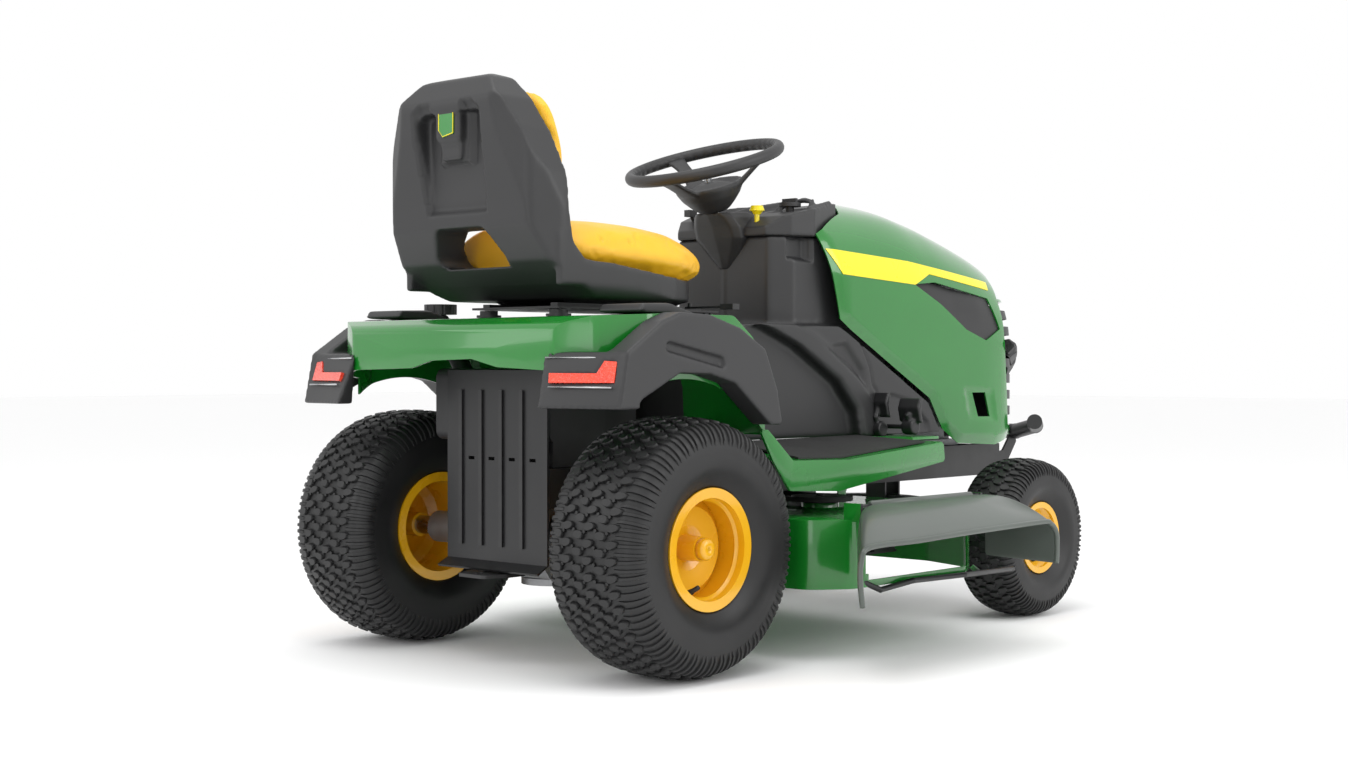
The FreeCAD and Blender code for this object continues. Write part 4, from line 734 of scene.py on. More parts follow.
def bar_bits(points, radius, sides=10):
    """Closed round bar along the points."""
    spots = []
    line = [Vector(p) for p in points]
    for i, here in enumerate(line):
        ahead = (line[min(i + 1, len(line) - 1)] - line[max(i - 1, 0)]).normalized()
        across = ahead.cross(Vector((0.31, 0.17, 0.93))).normalized()
        up = ahead.cross(across)
        for k in range(sides):
            turn = 2 * math.pi * k / sides
            spots.append(here + (across * math.cos(turn) + up * math.sin(turn)) * radius)
    ends = [tuple(range(sides)), tuple((len(line) - 1) * sides + k for k in reversed(range(sides)))]
    return spots, grid_faces(len(line), sides) + ends


def prism_bits(outline, axis, low, high):
    """Closed block: an outline of (u, v) carried along X (0), Y (1) or Z (2)."""
    def at(u, v, w):
        return ((w, u, v), (u, w, v), (u, v, w))[axis]
    count = len(outline)
    spots = [at(u, v, low) for u, v in outline] + [at(u, v, high) for u, v in outline]
    faces = [(i, (i + 1) % count, count + (i + 1) % count, count + i) for i in range(count)]
    return spots, faces + [tuple(range(count)), tuple(range(2 * count - 1, count - 1, -1))]


def bead(name, points, radius, finish, body, sides=8):
    """Thin raised bead or cord line of its own."""
    spots, faces = bar_bits(points, radius, sides)
    piece = piece_of(name, spots, faces, finish)
    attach(piece, body)
    return piece


badge_boss = prism_bits([(-0.036, 1.052), (0.030, 1.052), (0.037, 1.062), (0.037, 1.128), (0.028, 1.140),
                         (-0.028, 1.140), (-0.037, 1.128), (-0.037, 1.064)], 1, 0.20, 0.238)
boss_foot = prism_bits([(-0.030, 1.015), (0.026, 1.015), (0.034, 1.06), (-0.034, 1.06)], 1, 0.20, 0.228)
RIM_LINE = [(0.2245, 0.150, 0.866), (0.2265, 0.120, 0.834), (0.2265, 0.090, 0.819), (0.2265, 0.060, 0.815),
            (0.2265, 0.000, 0.812), (0.2265, -0.080, 0.802), (0.2220, -0.140, 0.795), (0.2080, -0.200, 0.790),
            (0.1800, -0.262, 0.788), (0.1400, -0.316, 0.790), (0.0950, -0.358, 0.792), (0.0500, -0.384, 0.794),
            (0.0050, -0.392, 0.795)]


def rim_wall(sign):
    """Raised side of the bucket, which hugs the cushion and falls towards the front."""
    spots = []
    line = [Vector(p) for p in RIM_LINE]
    for i, here in enumerate(line):
        ahead = line[min(i + 1, len(line) - 1)] - line[max(i - 1, 0)]
        across = Vector((-ahead.y, ahead.x, 0)).normalized() * 0.0085
        for shift in (-1, 1):
            for z in (0.7625, here.z):
                spots.append((sign * (here.x + across.x * shift), here.y + across.y * shift, z))
    faces = []
    for i in range(len(line) - 1):
        a, b = i * 4, (i + 1) * 4
        faces += [(a, a + 1, b + 1, b), (a + 2, b + 2, b + 3, a + 3), (a + 1, a + 3, b + 3, b + 1),
                  (a, b, b + 2, a + 2)]
    last = (len(line) - 1) * 4
    return spots, faces + [(0, 2, 3, 1), (last, last + 1, last + 3, last + 2)]


SEAT_PLAN = [(0.150, 0.255), (0.205, 0.225), (0.2345, 0.140), (0.2345, -0.080), (0.230, -0.142), (0.216, -0.204),
             (0.187, -0.268), (0.146, -0.323), (0.099, -0.366), (0.052, -0.393), (0.0, -0.401)]
bucket = loose_copy("seat_shell", "seat_bucket")
plan_loop = [(-x, y) for x, y in SEAT_PLAN] + [(x, y) for x, y in reversed(SEAT_PLAN[:-1])]
trimmer = piece_of("seat_plan_cutter", *prism_bits(plan_loop, 2, 0.70, 1.25), dark_moulding)
trim = bucket.modifiers.new("plan", "BOOLEAN")
trim.operation = "INTERSECT"
trim.solver = "EXACT"
trim.object = trimmer
settle(bucket)
bpy.data.objects.remove(trimmer)
add_bits(bucket, (badge_boss, boss_foot, rim_wall(-1), rim_wall(1)))
skinned(bucket, dark_moulding, 0.0042, 9)
RECESS = [(-0.088, 0.905), (-0.104, 1.108), (-0.070, 1.134), (0.070, 1.134), (0.104, 1.108), (0.088, 0.905)]
BOSS = [(-0.046, 1.010), (0.046, 1.010), (0.046, 1.146), (-0.046, 1.146)]
for vert in bucket.data.vertices:
    x, y, z = vert.co
    if y > 0.165 and abs(x) < 0.12 and inside(RECESS, x, z) and not inside(BOSS, x, z):
        edge = min(0.104 - abs(x) - max(0.0, (1.0 - z)) * 0.07, z - 0.905, 1.134 - z)
        share = max(0.0, min(1.0, edge / 0.016))
        vert.co.y -= 0.012 * share * share * (3 - 2 * share)
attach(bucket, "seat")
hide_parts("seat_shell")

badge_outline = [(-0.022, 1.066), (0.010, 1.060), (0.022, 1.074), (0.022, 1.118), (0.012, 1.130), (-0.016, 1.130),
                 (-0.023, 1.122)]
spots, faces = prism_bits(badge_outline, 1, 0.2368, 0.2402)
badge = piece_of("seat_badge_plate", spots, faces, green_moulding, smooth=False)
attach(badge, "seat")
badge_line = [(u * 0.96, 0.2402, 1.095 + (v - 1.095) * 0.96) for u, v in badge_outline + badge_outline[:1]]
bead("seat_badge_rim", badge_line, 0.0011, yellow_moulding, "seat")


# Pebbled cells of embossed vinyl
embossed, given, result = value_group("embossed_cells", [("Scale", 500)], ["Height"])
place = node_in(embossed, "ShaderNodeTexCoord")
cells = node_in(embossed, "ShaderNodeTexVoronoi")
cells.feature = "DISTANCE_TO_EDGE"
flatten = node_in(embossed, "ShaderNodeMapRange", From_Max=0.25)
wired(embossed, (place, "Object", cells, "Vector"), (given, "Scale", cells, "Scale"),
      (cells, "Distance", flatten, "Value"), (flatten, "Result", result, "Height"))
# Painted highlight: the edge colour lightens the vinyl's sharp edges
vinyl = finish_of("seat_vinyl", (0.86, 0.48, 0.012), (0.80, 0.42, 0.010), 0.36, 0.46, tone=5, bump=0.22,
                  depth=0.0007, cells=420, edge=(0.92, 0.56, 0.03), highlight_amount=0.5)


def pad_shape(name, half_width, spine, crown, base, nose=0.62, rings=22, steps=56):
    """Closed pillow: a rounded plan whose top and underside follow the spine, crowned across."""
    spots = []
    length = len(spine) - 1

    def on_spine(share):
        place = max(0.0, min(0.9999, share)) * length
        i = int(place)
        return Vector(spine[i]).lerp(Vector(spine[i + 1]), place - i)

    for top in (1, -1):
        for ring in range(rings + 1):
            size = math.sin(math.pi / 2 * ring / rings) if top > 0 else math.sin(math.pi / 2 * (rings - ring) / rings)
            for k in range(steps):
                turn = 2 * math.pi * k / steps
                square = 0.62 if math.sin(turn) < 0 else nose
                u = size * math.copysign(abs(math.cos(turn)) ** square, math.cos(turn))
                v = size * math.copysign(abs(math.sin(turn)) ** square, math.sin(turn))
                centre = on_spine(0.5 + 0.5 * v)
                ahead = (on_spine(0.47 + 0.5 * v) - on_spine(0.53 + 0.5 * v)).normalized()
                up = Vector((0, -ahead.y, ahead.x))
                reach = max(0.0, 1 - size ** 2.4) ** 0.5
                rise = (crown if top > 0 else -base) * reach
                spots.append(Vector((u * half_width, centre.x, centre.y)) + Vector((0, up.y, up.z)) * rise)
    return piece_of(name, spots, grid_faces(2 * (rings + 1), steps), dark_moulding)


PROUD = 0.004


def puffed(piece, node, pressure, cap):
    """Cushion: a slightly small pillow, swollen by air pressure and capped."""
    low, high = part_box(node)
    skin = piece.modifiers.new("skin", "REMESH")
    skin.mode = "VOXEL"
    skin.voxel_size = 0.0065
    soft = piece.modifiers.new("soft", "SMOOTH")
    soft.factor = 0.5
    soft.iterations = 10
    settle(piece)
    start = [v.co.copy() for v in piece.data.vertices]
    cloth = piece.modifiers.new("foam", "CLOTH")
    cloth.settings.quality = 5
    cloth.settings.use_pressure = True
    cloth.settings.uniform_pressure_force = pressure
    cloth.settings.effector_weights.gravity = 0
    cloth.settings.tension_stiffness = 12
    cloth.settings.bending_stiffness = 1.2
    cloth.point_cache.frame_start = 1
    cloth.point_cache.frame_end = 14
    for number in range(1, 15):
        bpy.context.scene.frame_set(number)
    settle(piece)
    bpy.context.scene.frame_set(1)
    for vert, before in zip(piece.data.vertices, start):
        move = vert.co - before
        if move.length > cap:
            vert.co = before + move.normalized() * cap
    for vert in piece.data.vertices:
        for axis in range(3):
            vert.co[axis] = max(low[axis] - PROUD, min(high[axis] + PROUD, vert.co[axis]))
    finer = piece.modifiers.new("finer", "SUBSURF")
    finer.levels = 1
    finer.render_levels = 1
    settle(piece)
    return piece


def seam_press(piece, path, width, depth):
    """Presses a sewn channel into the cushion along the path."""
    line = [Vector(p) for p in path]
    for vert in piece.data.vertices:
        best = 1.0
        for a, b in zip(line, line[1:]):
            along = b - a
            share = max(0.0, min(1.0, (vert.co - a).dot(along) / along.length_squared))
            best = min(best, (vert.co - a - along * share).length)
        if best < width * 2.5:
            vert.co -= vert.normal * depth * math.exp(-(best / width) ** 2)


def finish_cushion(piece, node):
    """Vinyl cover and smooth shading of a finished cushion, attached to the seat body in place of the CAD cushion."""
    piece.data.materials.clear()
    piece.data.materials.append(vinyl)
    piece.data.shade_smooth()
    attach(piece, "seat")
    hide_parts(node)


SEAT_SPINE = [(0.104, 0.838), (0.040, 0.834), (-0.060, 0.830), (-0.160, 0.826), (-0.260, 0.818), (-0.340, 0.810),
              (-0.398, 0.803)]
seat_pillow = pad_shape("seat_pad", 0.214, SEAT_SPINE, 0.072, 0.040, 0.86)
seat_pad = puffed(seat_pillow, "seat_cushion", 4.0, 0.010)
for y in (-0.10, -0.02):
    seam_press(seat_pad, [(x / 10 * 0.21, y + 0.012 * abs(x / 10), 0.885 - 0.03 * (x / 10) ** 2)
                          for x in range(-10, 11)], 0.005, 0.005)
for side_sign in (-1, 1):
    seam_press(seat_pad, [(side_sign * 0.15, -0.42 + 0.02 * i, 0.885 - 0.004 * abs(i - 9)) for i in range(22)],
               0.005, 0.004)
finish_cushion(seat_pad, "seat_cushion")

BACK_SPINE = [(0.128, 1.168), (0.122, 1.120), (0.108, 1.050), (0.104, 0.985), (0.108, 0.930), (0.114, 0.880)]
back_pillow = pad_shape("seat_back_pad", 0.186, BACK_SPINE, 0.030, 0.026)
back_pad = puffed(back_pillow, "seat_back_cushion", 4.0, 0.010)
for z in (0.965, 1.06):
    seam_press(back_pad, [(x / 10 * 0.18, 0.078, z) for x in range(-10, 11)], 0.006, 0.005)
finish_cushion(back_pad, "seat_back_cushion")

# ---- Rear body and fenders: one green moulding over both wheels, dark side trims that end in tail pods,
# orange-red lenses between bright bevel lines.
# Painted highlight: the edge colour of the green steel lightens its sharp edges
green_steel = finish_of("green_painted_steel", GREEN, GREEN_DEEP, 0.2, 0.3, coat=0.5, tone=5, grain=160, bump=0.10,
                        edge=(0.04, 0.30, 0.05), highlight_amount=0.4)
bright_steel = finish_of("bright_steel", (0.56, 0.57, 0.58), (0.42, 0.43, 0.44), 0.24, 0.38, metal=1.0, tone=20,
                         grain=350, bump=0.10)


def softened(name, node, body, finish, width):
    """A CAD node's shape with its edges rounded off, standing for the node."""
    piece = loose_copy(node, name)
    shape = bmesh.new()
    shape.from_mesh(piece.data)
    bmesh.ops.dissolve_limit(shape, angle_limit=math.radians(0.6), verts=shape.verts, edges=shape.edges)
    shape.to_mesh(piece.data)
    shape.free()
    round_off = piece.modifiers.new("rounded", "BEVEL")
    round_off.width = width
    round_off.segments = 2
    round_off.limit_method = "ANGLE"
    round_off.angle_limit = math.radians(38)
    round_off.use_clamp_overlap = True
    settle(piece)
    piece.data.materials.clear()
    piece.data.materials.append(finish)
    piece.data.shade_smooth()
    piece.data.set_sharp_from_angle(angle=math.radians(34))
    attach(piece, body)
    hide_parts(node)
    return piece


softened("rear_body", "fender_deck", "chassis", green_moulding, 0.003)
for side in ("right", "left"):
    moulding("wheel_trim_" + side, "fender_trim_" + side, "chassis", dark_moulding, 0.004, 3)
lens_orange = finish_of("tail_lens", (0.90, 0.060, 0.016), (0.78, 0.036, 0.010), 0.10, 0.18, coat=0.9, tone=30,
                        bump=0.55, depth=0.0014, cells=170)
for sign in (-1, 1):
    for label, line in (("upper", [(0.292, 0.2470, 0.6215), (0.448, 0.2135, 0.6205)]),
                        ("lower", [(0.318, 0.2655, 0.5665), (0.452, 0.2340, 0.5655)])):
        bead(f"lens_bevel_{label}_{'left' if sign > 0 else 'right'}", [(sign * x, y, z) for x, y, z in line], 0.0016,
             bright_steel, "chassis")

# Dark top console over each wheel, from the fender's crown down to the front leg of the trim
console = [(0.118, 0.7085), (0.104, 0.7250), (0.030, 0.7270), (-0.060, 0.7050), (-0.170, 0.6750), (-0.236, 0.6500),
           (-0.236, 0.6200), (-0.170, 0.6480), (-0.060, 0.6860), (0.030, 0.7060)]
for side in ("right", "left"):
    sign = -1 if side == "right" else 1
    low_x, high_x = sorted((sign * 0.300, sign * 0.412))
    console_top = piece_of("fender_console_" + side, *prism_bits(console, 0, low_x, high_x), dark_moulding)
    skinned(console_top, dark_moulding, 0.004, 5)
    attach(console_top, "chassis")

# ---- Footrests: green pressed boards with ribbed rubber mats
softened("footrests", "running_boards", "chassis", green_steel, 0.004)


# ---- Leg shield: one dark moulding, with the upright column, the tunnel between the feet, leg panels
# that flare forward to the hood, a raised arch band over each foot and a pocket beside the column
def meet(prisms):
    """The common solid of several prisms, as bits to weld on."""
    made = []
    for number, (spots, faces) in enumerate(prisms):
        made.append(piece_of(f"meet_{number}", spots, faces, dark_moulding, smooth=False))
    first = made[0]
    for other in made[1:]:
        step = first.modifiers.new("meet", "BOOLEAN")
        step.operation = "INTERSECT"
        step.object = other
        step.solver = "EXACT"
    settle(first)
    spots = [v.co.copy() for v in first.data.vertices]
    faces = [tuple(p.vertices) for p in first.data.polygons]
    for other in made:
        bpy.data.objects.remove(other)
    return spots, faces


def both(half):
    return half + [(-u, v) for u, v in reversed(half)]


def mirrored_bits(bits):
    spots, faces = bits
    return [(-p[0], p[1], p[2]) for p in spots], [tuple(reversed(face)) for face in faces]


column_bits = prism_bits(both([(-0.186, -0.985), (-0.186, -0.745), (-0.172, -0.655), (-0.136, -0.604),
                               (-0.004, -0.610)]), 2, 0.60, 0.902)
tunnel_bits = prism_bits([(-0.258, 0.441), (-0.258, 0.640), (-0.272, 0.683), (-0.300, 0.698), (-0.985, 0.698),
                          (-0.985, 0.441)], 0, -0.195, 0.195)
flare_bits = prism_bits([(-0.480, 0.697), (-0.606, 0.652), (-0.755, 0.572), (-0.825, 0.502), (-0.841, 0.441),
                         (-1.172, 0.441), (-1.170, 0.452), (-1.121, 0.518), (-0.800, 0.680), (-0.763, 0.697)],
                        0, -0.224, 0.224)
band = [(-0.452, 0.700), (-0.520, 0.688), (-0.620, 0.652), (-0.765, 0.578), (-0.838, 0.506), (-0.856, 0.441),
        (-0.902, 0.441), (-0.884, 0.520), (-0.806, 0.606), (-0.660, 0.681), (-0.590, 0.699)]
band_bits = prism_bits(band, 0, -0.230, -0.200)
leg_shield = piece_of("leg_shield", *column_bits, dark_moulding)
add_bits(leg_shield, [tunnel_bits, flare_bits, band_bits, mirrored_bits(band_bits)])
skinned(leg_shield, dark_moulding, 0.0052, 7)


def pressed(piece, outline, axis, depth, edge, wanted, direction):
    """Sinks the wanted part of the surface inside the outline, with a soft shoulder."""
    for vert in piece.data.vertices:
        u, v = ((vert.co.y, vert.co.z), (vert.co.x, vert.co.z), (vert.co.x, vert.co.y))[axis]
        if not wanted(vert.co) or not inside(outline, u, v):
            continue
        near = 1.0
        for (ua, va), (ub, vb) in zip(outline, outline[1:] + outline[:1]):
            along = Vector((ub - ua, vb - va))
            out = Vector((u - ua, v - va))
            share = max(0.0, min(1.0, out.dot(along) / along.length_squared))
            near = min(near, (out - along * share).length)
        share = min(1.0, near / edge)
        vert.co += Vector(direction(vert.co)) * depth * share * share * (3 - 2 * share)


def inward(co):
    return (-math.copysign(1.0, co.x), 0, 0)


def groove(piece, path, axis, width, depth, wanted, direction):
    """A narrow seam pressed along a line."""
    line = [Vector(p) for p in path]
    for vert in piece.data.vertices:
        if not wanted(vert.co):
            continue
        spot = Vector(((vert.co.y, vert.co.z), (vert.co.x, vert.co.z), (vert.co.x, vert.co.y))[axis])
        near = 1.0
        for a, b in zip(line, line[1:]):
            along = b - a
            share = max(0.0, min(1.0, (spot - a).dot(along) / along.length_squared))
            near = min(near, (spot - a - along * share).length)
        if near < width * 2:
            vert.co += Vector(direction(vert.co)) * depth * math.exp(-(near / width) ** 2)


outer_wall = lambda co: abs(co.x) > 0.21
pressed(leg_shield, [(-0.680, 0.655), (-0.790, 0.668), (-0.862, 0.600), (-0.868, 0.545)], 0, 0.010, 0.020, outer_wall,
        inward)
groove(leg_shield, [(-0.845, 0.658), (-0.880, 0.600), (-0.890, 0.560), (-0.905, 0.545), (-0.900, 0.505)], 0, 0.0035,
       0.004, outer_wall, inward)
pressed(leg_shield, [(-0.915, 0.440), (-0.905, 0.530), (-0.960, 0.545), (-1.045, 0.530), (-1.125, 0.470),
                     (-1.13, 0.440)], 0, 0.006, 0.012, outer_wall, inward)
pressed(leg_shield, [(-0.712, 0.846), (-0.640, 0.850), (-0.642, 0.905), (-0.712, 0.905)], 0, 0.024, 0.005,
        lambda co: co.x < -0.13 and co.z > 0.84, inward)
groove(leg_shield, [(0, 0.62), (0, 0.91)], 1, 0.0035, -0.0026, lambda co: co.y > -0.62, lambda co: (0, -1, 0))
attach(leg_shield, "chassis")
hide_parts("pedestal")

# ---- Dash top: rises towards the hood, with a brow round the height dial and a boot round the shaft
dash_bits = meet([prism_bits([(-0.596, 0.9025), (-0.596, 0.922), (-0.640, 0.950), (-0.700, 0.965), (-0.866, 0.992),
                              (-0.985, 0.999), (-0.985, 0.9025)], 0, -0.2, 0.2),
                  prism_bits(both([(-0.006, -0.990), (-0.146, -0.846), (-0.192, -0.706), (-0.170, -0.650),
                                   (-0.134, -0.598)]), 2, 0.85, 1.01)])
dash_top = piece_of("dash_top", *dash_bits, dark_moulding)
side_rail = bar_bits([(-0.178, -0.700, 0.968), (-0.146, -0.820, 0.990), (-0.070, -0.905, 0.998)], 0.005)
brow = bar_bits([(-0.112 + 0.047 * math.cos(math.radians(a)), -0.728 + 0.036 * math.sin(math.radians(a)),
                  0.968 + 0.030 * max(0.0, -math.sin(math.radians(a))) ** 0.6) for a in range(180, 361, 12)], 0.0062)
ridge = bar_bits([(0.0, -0.640, 0.955), (0.0, -0.700, 0.972), (0.0, -0.840, 0.995)], 0.009)
add_bits(dash_top, [side_rail, mirrored_bits(side_rail), brow, ridge])
skinned(dash_top, dark_moulding, 0.0032, 4)
pressed(dash_top, [(-0.165, -0.688), (-0.060, -0.688), (-0.060, -0.770), (-0.150, -0.770)], 2, 0.005, 0.006,
        lambda co: co.z > 0.95, lambda co: (0, 0, -1))
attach(dash_top, "chassis")
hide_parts("dash_console")

boot_rows = []
for half, back, front, z in ((0.030, -0.606, -0.690, 0.830), (0.052, -0.592, -0.695, 0.868),
                             (0.072, -0.577, -0.700, 0.900), (0.070, -0.567, -0.698, 0.926),
                             (0.060, -0.556, -0.680, 0.946), (0.049, -0.548, -0.655, 0.9575),
                             (0.030, -0.552, -0.630, 0.9560)):
    boot_rows.append([(-half, back - 0.016, z), (-half + 0.018, back - 0.003, z), (0, back, z),
                      (half - 0.018, back - 0.003, z), (half, back - 0.016, z), (half, front + 0.02, z + 0.006 * (z > 0.94)),
                      (half - 0.02, front, z + 0.006 * (z > 0.94)), (-half + 0.02, front, z + 0.006 * (z > 0.94)),
                      (-half, front + 0.02, z + 0.006 * (z > 0.94))])
count = len(boot_rows[0])
faces = grid_faces(len(boot_rows), count)
faces += [tuple(reversed(range(count))), tuple(range((len(boot_rows) - 1) * count, len(boot_rows) * count))]
boot = piece_of("column_boot", [p for row in boot_rows for p in row], faces, dark_moulding)
skinned(boot, dark_moulding, 0.003, 4)
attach(boot, "chassis")
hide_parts("column_collar")

# ---- Dial numbers: plain white marks round the height dial
chalk = finish_of("mark_white", (0.85, 0.85, 0.84), (0.75, 0.75, 0.74), 0.4, 0.5, tone=20)
marks = []
for turn in range(-60, 121, 36):
    a = math.radians(turn)
    u, v = -0.112 + 0.0195 * math.sin(a), -0.715 - 0.0195 * math.cos(a)
    marks.append(prism_bits([(u - 0.0022, v - 0.0022), (u + 0.0022, v - 0.0022), (u + 0.0022, v + 0.0022),
                             (u - 0.0022, v + 0.0022)], 2, 0.9845, 0.9856))
dial_marks = piece_of("dial_marks", *marks[0], chalk, smooth=False)
add_bits(dial_marks, marks[1:])
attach(dial_marks, "height_dial")

# ---- Chute: dark moulded deflector, hinged on the deck's edge, with a rolled lip; the guard bar is black
HINGE_SIDE = [(-0.385, 0.165), (-0.384, 0.235), (-0.388, 0.292), (-0.410, 0.318), (-0.520, 0.320), (-0.660, 0.320),
              (-0.800, 0.320), (-0.828, 0.316), (-0.843, 0.290), (-0.845, 0.235), (-0.845, 0.185)]
LIP_SIDE = [(-0.152, 0.150), (-0.145, 0.195), (-0.148, 0.238), (-0.176, 0.262), (-0.340, 0.264), (-0.520, 0.268),
            (-0.790, 0.271), (-0.832, 0.266), (-0.856, 0.246), (-0.860, 0.212), (-0.857, 0.178)]
hinge_line = flowing([Vector(p) for p in HINGE_SIDE], 5)
lip_line = flowing([Vector(p) for p in LIP_SIDE], 5)
rows = []
for share in (0.0, 0.12, 0.26, 0.42, 0.58, 0.72, 0.84, 0.93, 1.0):
    x = -0.5625 - 0.1745 * share
    row = []
    for number, (a, b) in enumerate(zip(hinge_line, lip_line)):
        along = number / (len(hinge_line) - 1)
        top = math.sin(math.pi * along) ** 0.5
        spread = share ** 0.9
        spot = a.lerp(b, spread)
        bulge = 0.022 * math.sin(math.pi * share) * top
        dent = -0.012 * math.exp(-((along - 0.60) / 0.05) ** 2) * math.exp(-((share - 0.62) / 0.22) ** 2)
        row.append((x, spot.x, spot.y + bulge + dent))
    rows.append(row)
faces = grid_faces(len(rows), len(rows[0]), closed=False)
chute_green = finish_of("chute_moulding", (0.085, 0.100, 0.088), (0.066, 0.078, 0.068), 0.30, 0.42, tone=5, grain=500,
                        bump=0.15, coat=0.1)
chute = piece_of("chute_deflector", [p for row in rows for p in row], faces, chute_green)
thick = chute.modifiers.new("wall", "SOLIDIFY")
thick.thickness = 0.0042
thick.offset = 0
finer = chute.modifiers.new("finer", "SUBSURF")
finer.levels = 1
finer.render_levels = 1
settle(chute)
chute.data.shade_smooth()
chute.data.set_sharp_from_angle(angle=math.radians(50))
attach(chute, "discharge_chute")
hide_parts("discharge_chute")
bead("chute_lip", [(-0.7360, p.x, p.y) for p in lip_line], 0.0056, chute_green, "discharge_chute",
     10)
bead("chute_knuckles", [(-0.552, -0.43, 0.3185), (-0.552, -0.80, 0.3185)], 0.0095, chute_green,
     "discharge_chute", 12)

# Painted highlight: the edge colour of the black steel lightens its sharp edges
black_steel = finish_of("black_painted_steel", (0.012, 0.012, 0.013), (0.008, 0.008, 0.009), 0.34, 0.46, tone=7,
                        grain=300, bump=0.12, edge=(0.05, 0.05, 0.05), highlight_amount=0.4)
deck = softened("mower_deck", "deck_shell", "deck", green_steel, 0.002)
deck.data.materials.append(black_steel)
for face in deck.data.polygons:
    if face.center.x < -0.5405 or (face.center.x < -0.527 and face.center.z < 0.147):
        face.material_index = 1

# ---- Steering wheel: foam rim over a steel hoop, finger ripples inside, three flat spokes that dive
# into a deep moulded hub
STEER_AT = Vector((0, -0.541, 1.073))
STEER_UP = Vector((0, math.sin(math.radians(18.4)), math.cos(math.radians(18.4))))
STEER_ACROSS = Vector((1, 0, 0))
STEER_AHEAD = STEER_UP.cross(STEER_ACROSS)


def on_wheel(u, v, w):
    """Place from across, ahead and up in the wheel's own plane."""
    return STEER_AT + STEER_ACROSS * u + STEER_AHEAD * v + STEER_UP * w


def steering_rim(radius, tube, steps=220, sides=16):
    """Round rim whose inner side carries shallow finger ripples."""
    points = []
    for i in range(steps):
        turn = 2 * math.pi * i / steps
        ripple = 0.5 + 0.5 * math.cos(turn * 44)
        for k in range(sides):
            lean = 2 * math.pi * k / sides
            inner = max(0.0, -math.cos(lean)) ** 1.5
            thick = tube * (1 - 0.15 * inner * ripple)
            r = radius + thick * math.cos(lean) * 0.94
            points.append(on_wheel(r * math.cos(turn), r * math.sin(turn), thick * math.sin(lean)))
    return points, grid_faces(steps, sides, ring=True)


def spoke(turn, width):
    """One spoke: a flat, waisted strap from the rim down into the hub."""
    path = [(0.166, -0.004, 0.026, 0.006), (0.150, -0.009, 0.021, 0.006), (0.128, -0.020, 0.0185, 0.0065),
            (0.100, -0.040, 0.019, 0.007), (0.078, -0.056, 0.023, 0.008), (0.056, -0.068, 0.028, 0.009),
            (0.030, -0.074, 0.030, 0.010)]
    points = []
    for r, w, half, thick in flowing(path, 4):
        for lean in range(12):
            a = 2 * math.pi * lean / 12
            side = width * half * math.copysign(abs(math.cos(a)) ** 0.6, math.cos(a))
            lift = thick * math.copysign(abs(math.sin(a)) ** 0.7, math.sin(a))
            u = r * math.cos(turn) - side * math.sin(turn)
            v = r * math.sin(turn) + side * math.cos(turn)
            points.append(on_wheel(u, v, w + lift))
    rows = len(points) // 12
    ends = [tuple(range(12)), tuple((rows - 1) * 12 + k for k in reversed(range(12)))]
    return points, grid_faces(rows, 12) + ends


def hub_dish(steps=48):
    """The hub: a deep bowl with a low domed cap inside."""
    outline = [(0.0, -0.046), (0.024, -0.048), (0.044, -0.056), (0.060, -0.060), (0.074, -0.050), (0.080, -0.052),
               (0.079, -0.060), (0.068, -0.080), (0.052, -0.098), (0.038, -0.111), (0.030, -0.116), (0.0, -0.116)]
    points = []
    for i in range(steps):
        turn = 2 * math.pi * i / steps
        for r, w in outline:
            points.append(on_wheel(max(r, 0.0004) * math.cos(turn), max(r, 0.0004) * math.sin(turn), w))
    count = len(outline)
    ends = [tuple(i * count for i in range(steps)), tuple(i * count + count - 1 for i in reversed(range(steps)))]
    return points, grid_faces(steps, count, closed=False, ring=True) + ends


wheel_rim = piece_of("steering_rim", *steering_rim(0.174, 0.0138), dark_moulding)
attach(wheel_rim, "steering")
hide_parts("steering_wheel")
spider = piece_of("steering_spider", *hub_dish(), dark_moulding)
add_bits(spider, [spoke(math.radians(turn), size) for turn, size in ((90, 1.25), (205, 1.0), (335, 1.0))])
skinned(spider, dark_moulding, 0.003, 7)
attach(spider, "steering")

# ---- Pedals: two on the right footrest and the brake on the left, forged arms with round bosses and
# curved pads, all in black steel
PAD_SIDE = [(-0.010, -0.030), (0.004, -0.026), (0.013, 0.006), (0.002, 0.030), (-0.008, 0.028), (-0.002, 0)]


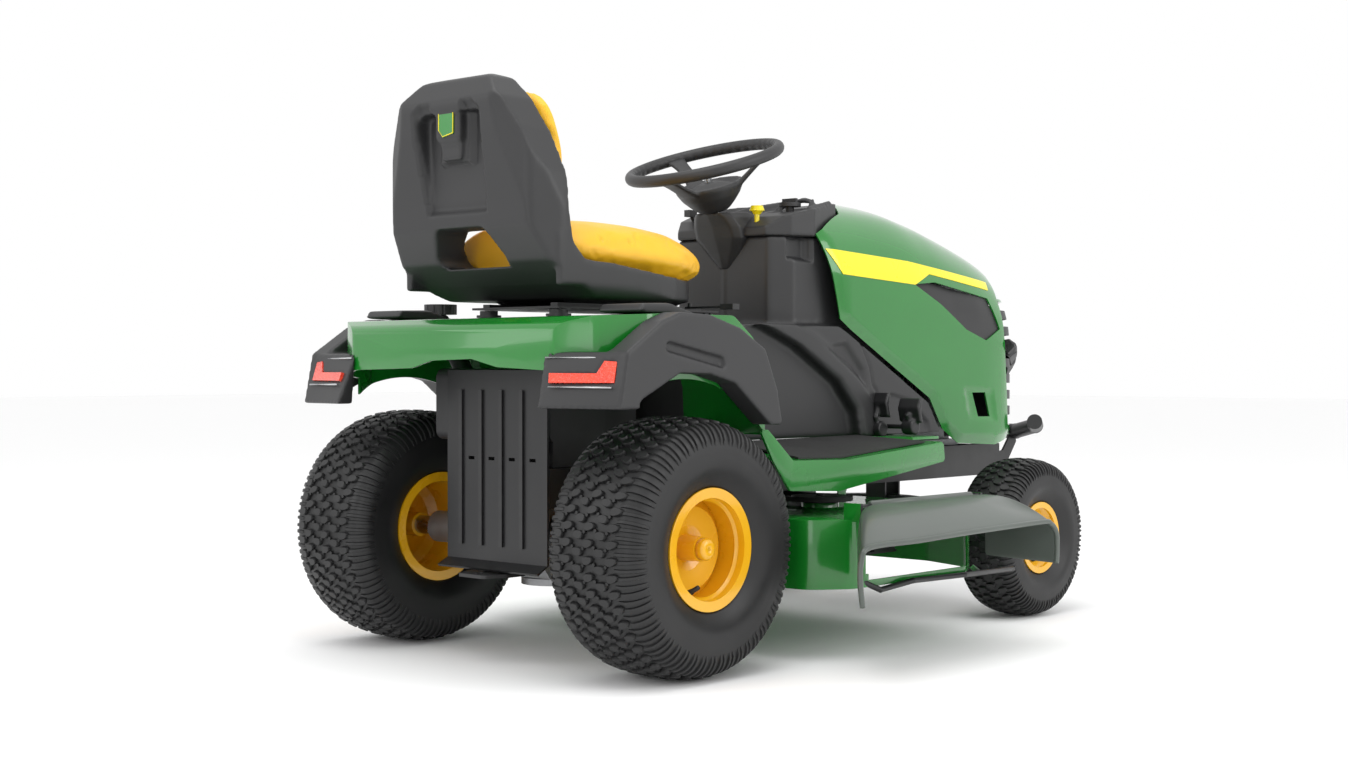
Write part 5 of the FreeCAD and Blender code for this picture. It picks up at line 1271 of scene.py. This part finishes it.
def pedal(name, node, body, x, boss, top, pad_half):
    """A pedal: upright arm, a round boss on its shaft and a curved pad, all one moulding."""
    y, z = boss
    arm = bar_bits([(x, y, z), (x, y + 0.012, z + 0.030), (x, y + 0.004, min(z + 0.055, top[1] - 0.008)),
                    (x, *top)], 0.0085, 10)
    disc = bar_bits([(x - 0.016, y, z), (x + 0.016, y, z)], 0.019, 20)
    pad = prism_bits([(top[0] + u, top[1] + v) for u, v in PAD_SIDE], 0, x - pad_half, x + pad_half)
    shaft = bar_bits([(x, y, z), (math.copysign(0.151, x), y, z)], 0.006, 12)
    piece = piece_of(name, *arm, dark_moulding)
    add_bits(piece, [disc, pad, shaft])
    skinned(piece, black_steel, 0.0026, 6)
    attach(piece, body)
    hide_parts(node)


pedal("forward_foot_pedal", "forward_pedal", "forward_pedal", -0.232, (-0.900, 0.456), (-0.902, 0.513), 0.030)
pedal("reverse_foot_pedal", "reverse_pedal", "reverse_pedal", -0.300, (-0.934, 0.462), (-0.936, 0.500), 0.030)
pedal("brake_foot_pedal", "brake_pedal", "brake_pedal", 0.255, (-0.900, 0.456), (-0.902, 0.513), 0.040)

# ---- Working parts left as they are: frame, engine, axles, linkage, belt, blades, knobs and mats, each in
# the finish of its own material
cast_alloy = finish_of("cast_alloy", (0.40, 0.41, 0.42), (0.27, 0.27, 0.28), 0.42, 0.6, metal=0.9, tone=12,
                       grain=260, bump=0.35, depth=0.0006)
mat_rubber = finish_of("mat_rubber", (0.020, 0.020, 0.020), (0.014, 0.014, 0.014), 0.6, 0.75, tone=8, grain=500,
                       bump=0.3)
FINISH_OF_SLOT = {
    "green_plastic": green_moulding, "green_metal": green_steel, "dark_plastic": dark_moulding,
    "black_metal": black_steel, "yellow_paint": yellow_steel, "yellow_plastic": yellow_moulding,
    "tyre_rubber": tyre_rubber, "mat_rubber": mat_rubber, "bright_steel": bright_steel, "alloy": cast_alloy,
    "lens_red": lens_orange, "lens_clear": lamp_glass, "seat_vinyl": vinyl,
}
slot_of = {part["node"]: part["material_slot"] for part in frame["record"]["subparts"]}
for node, piece in frame["nodes"].items():
    finish = FINISH_OF_SLOT.get(slot_of[node])
    if finish:
        for holder in piece.material_slots:
            holder.material = finish
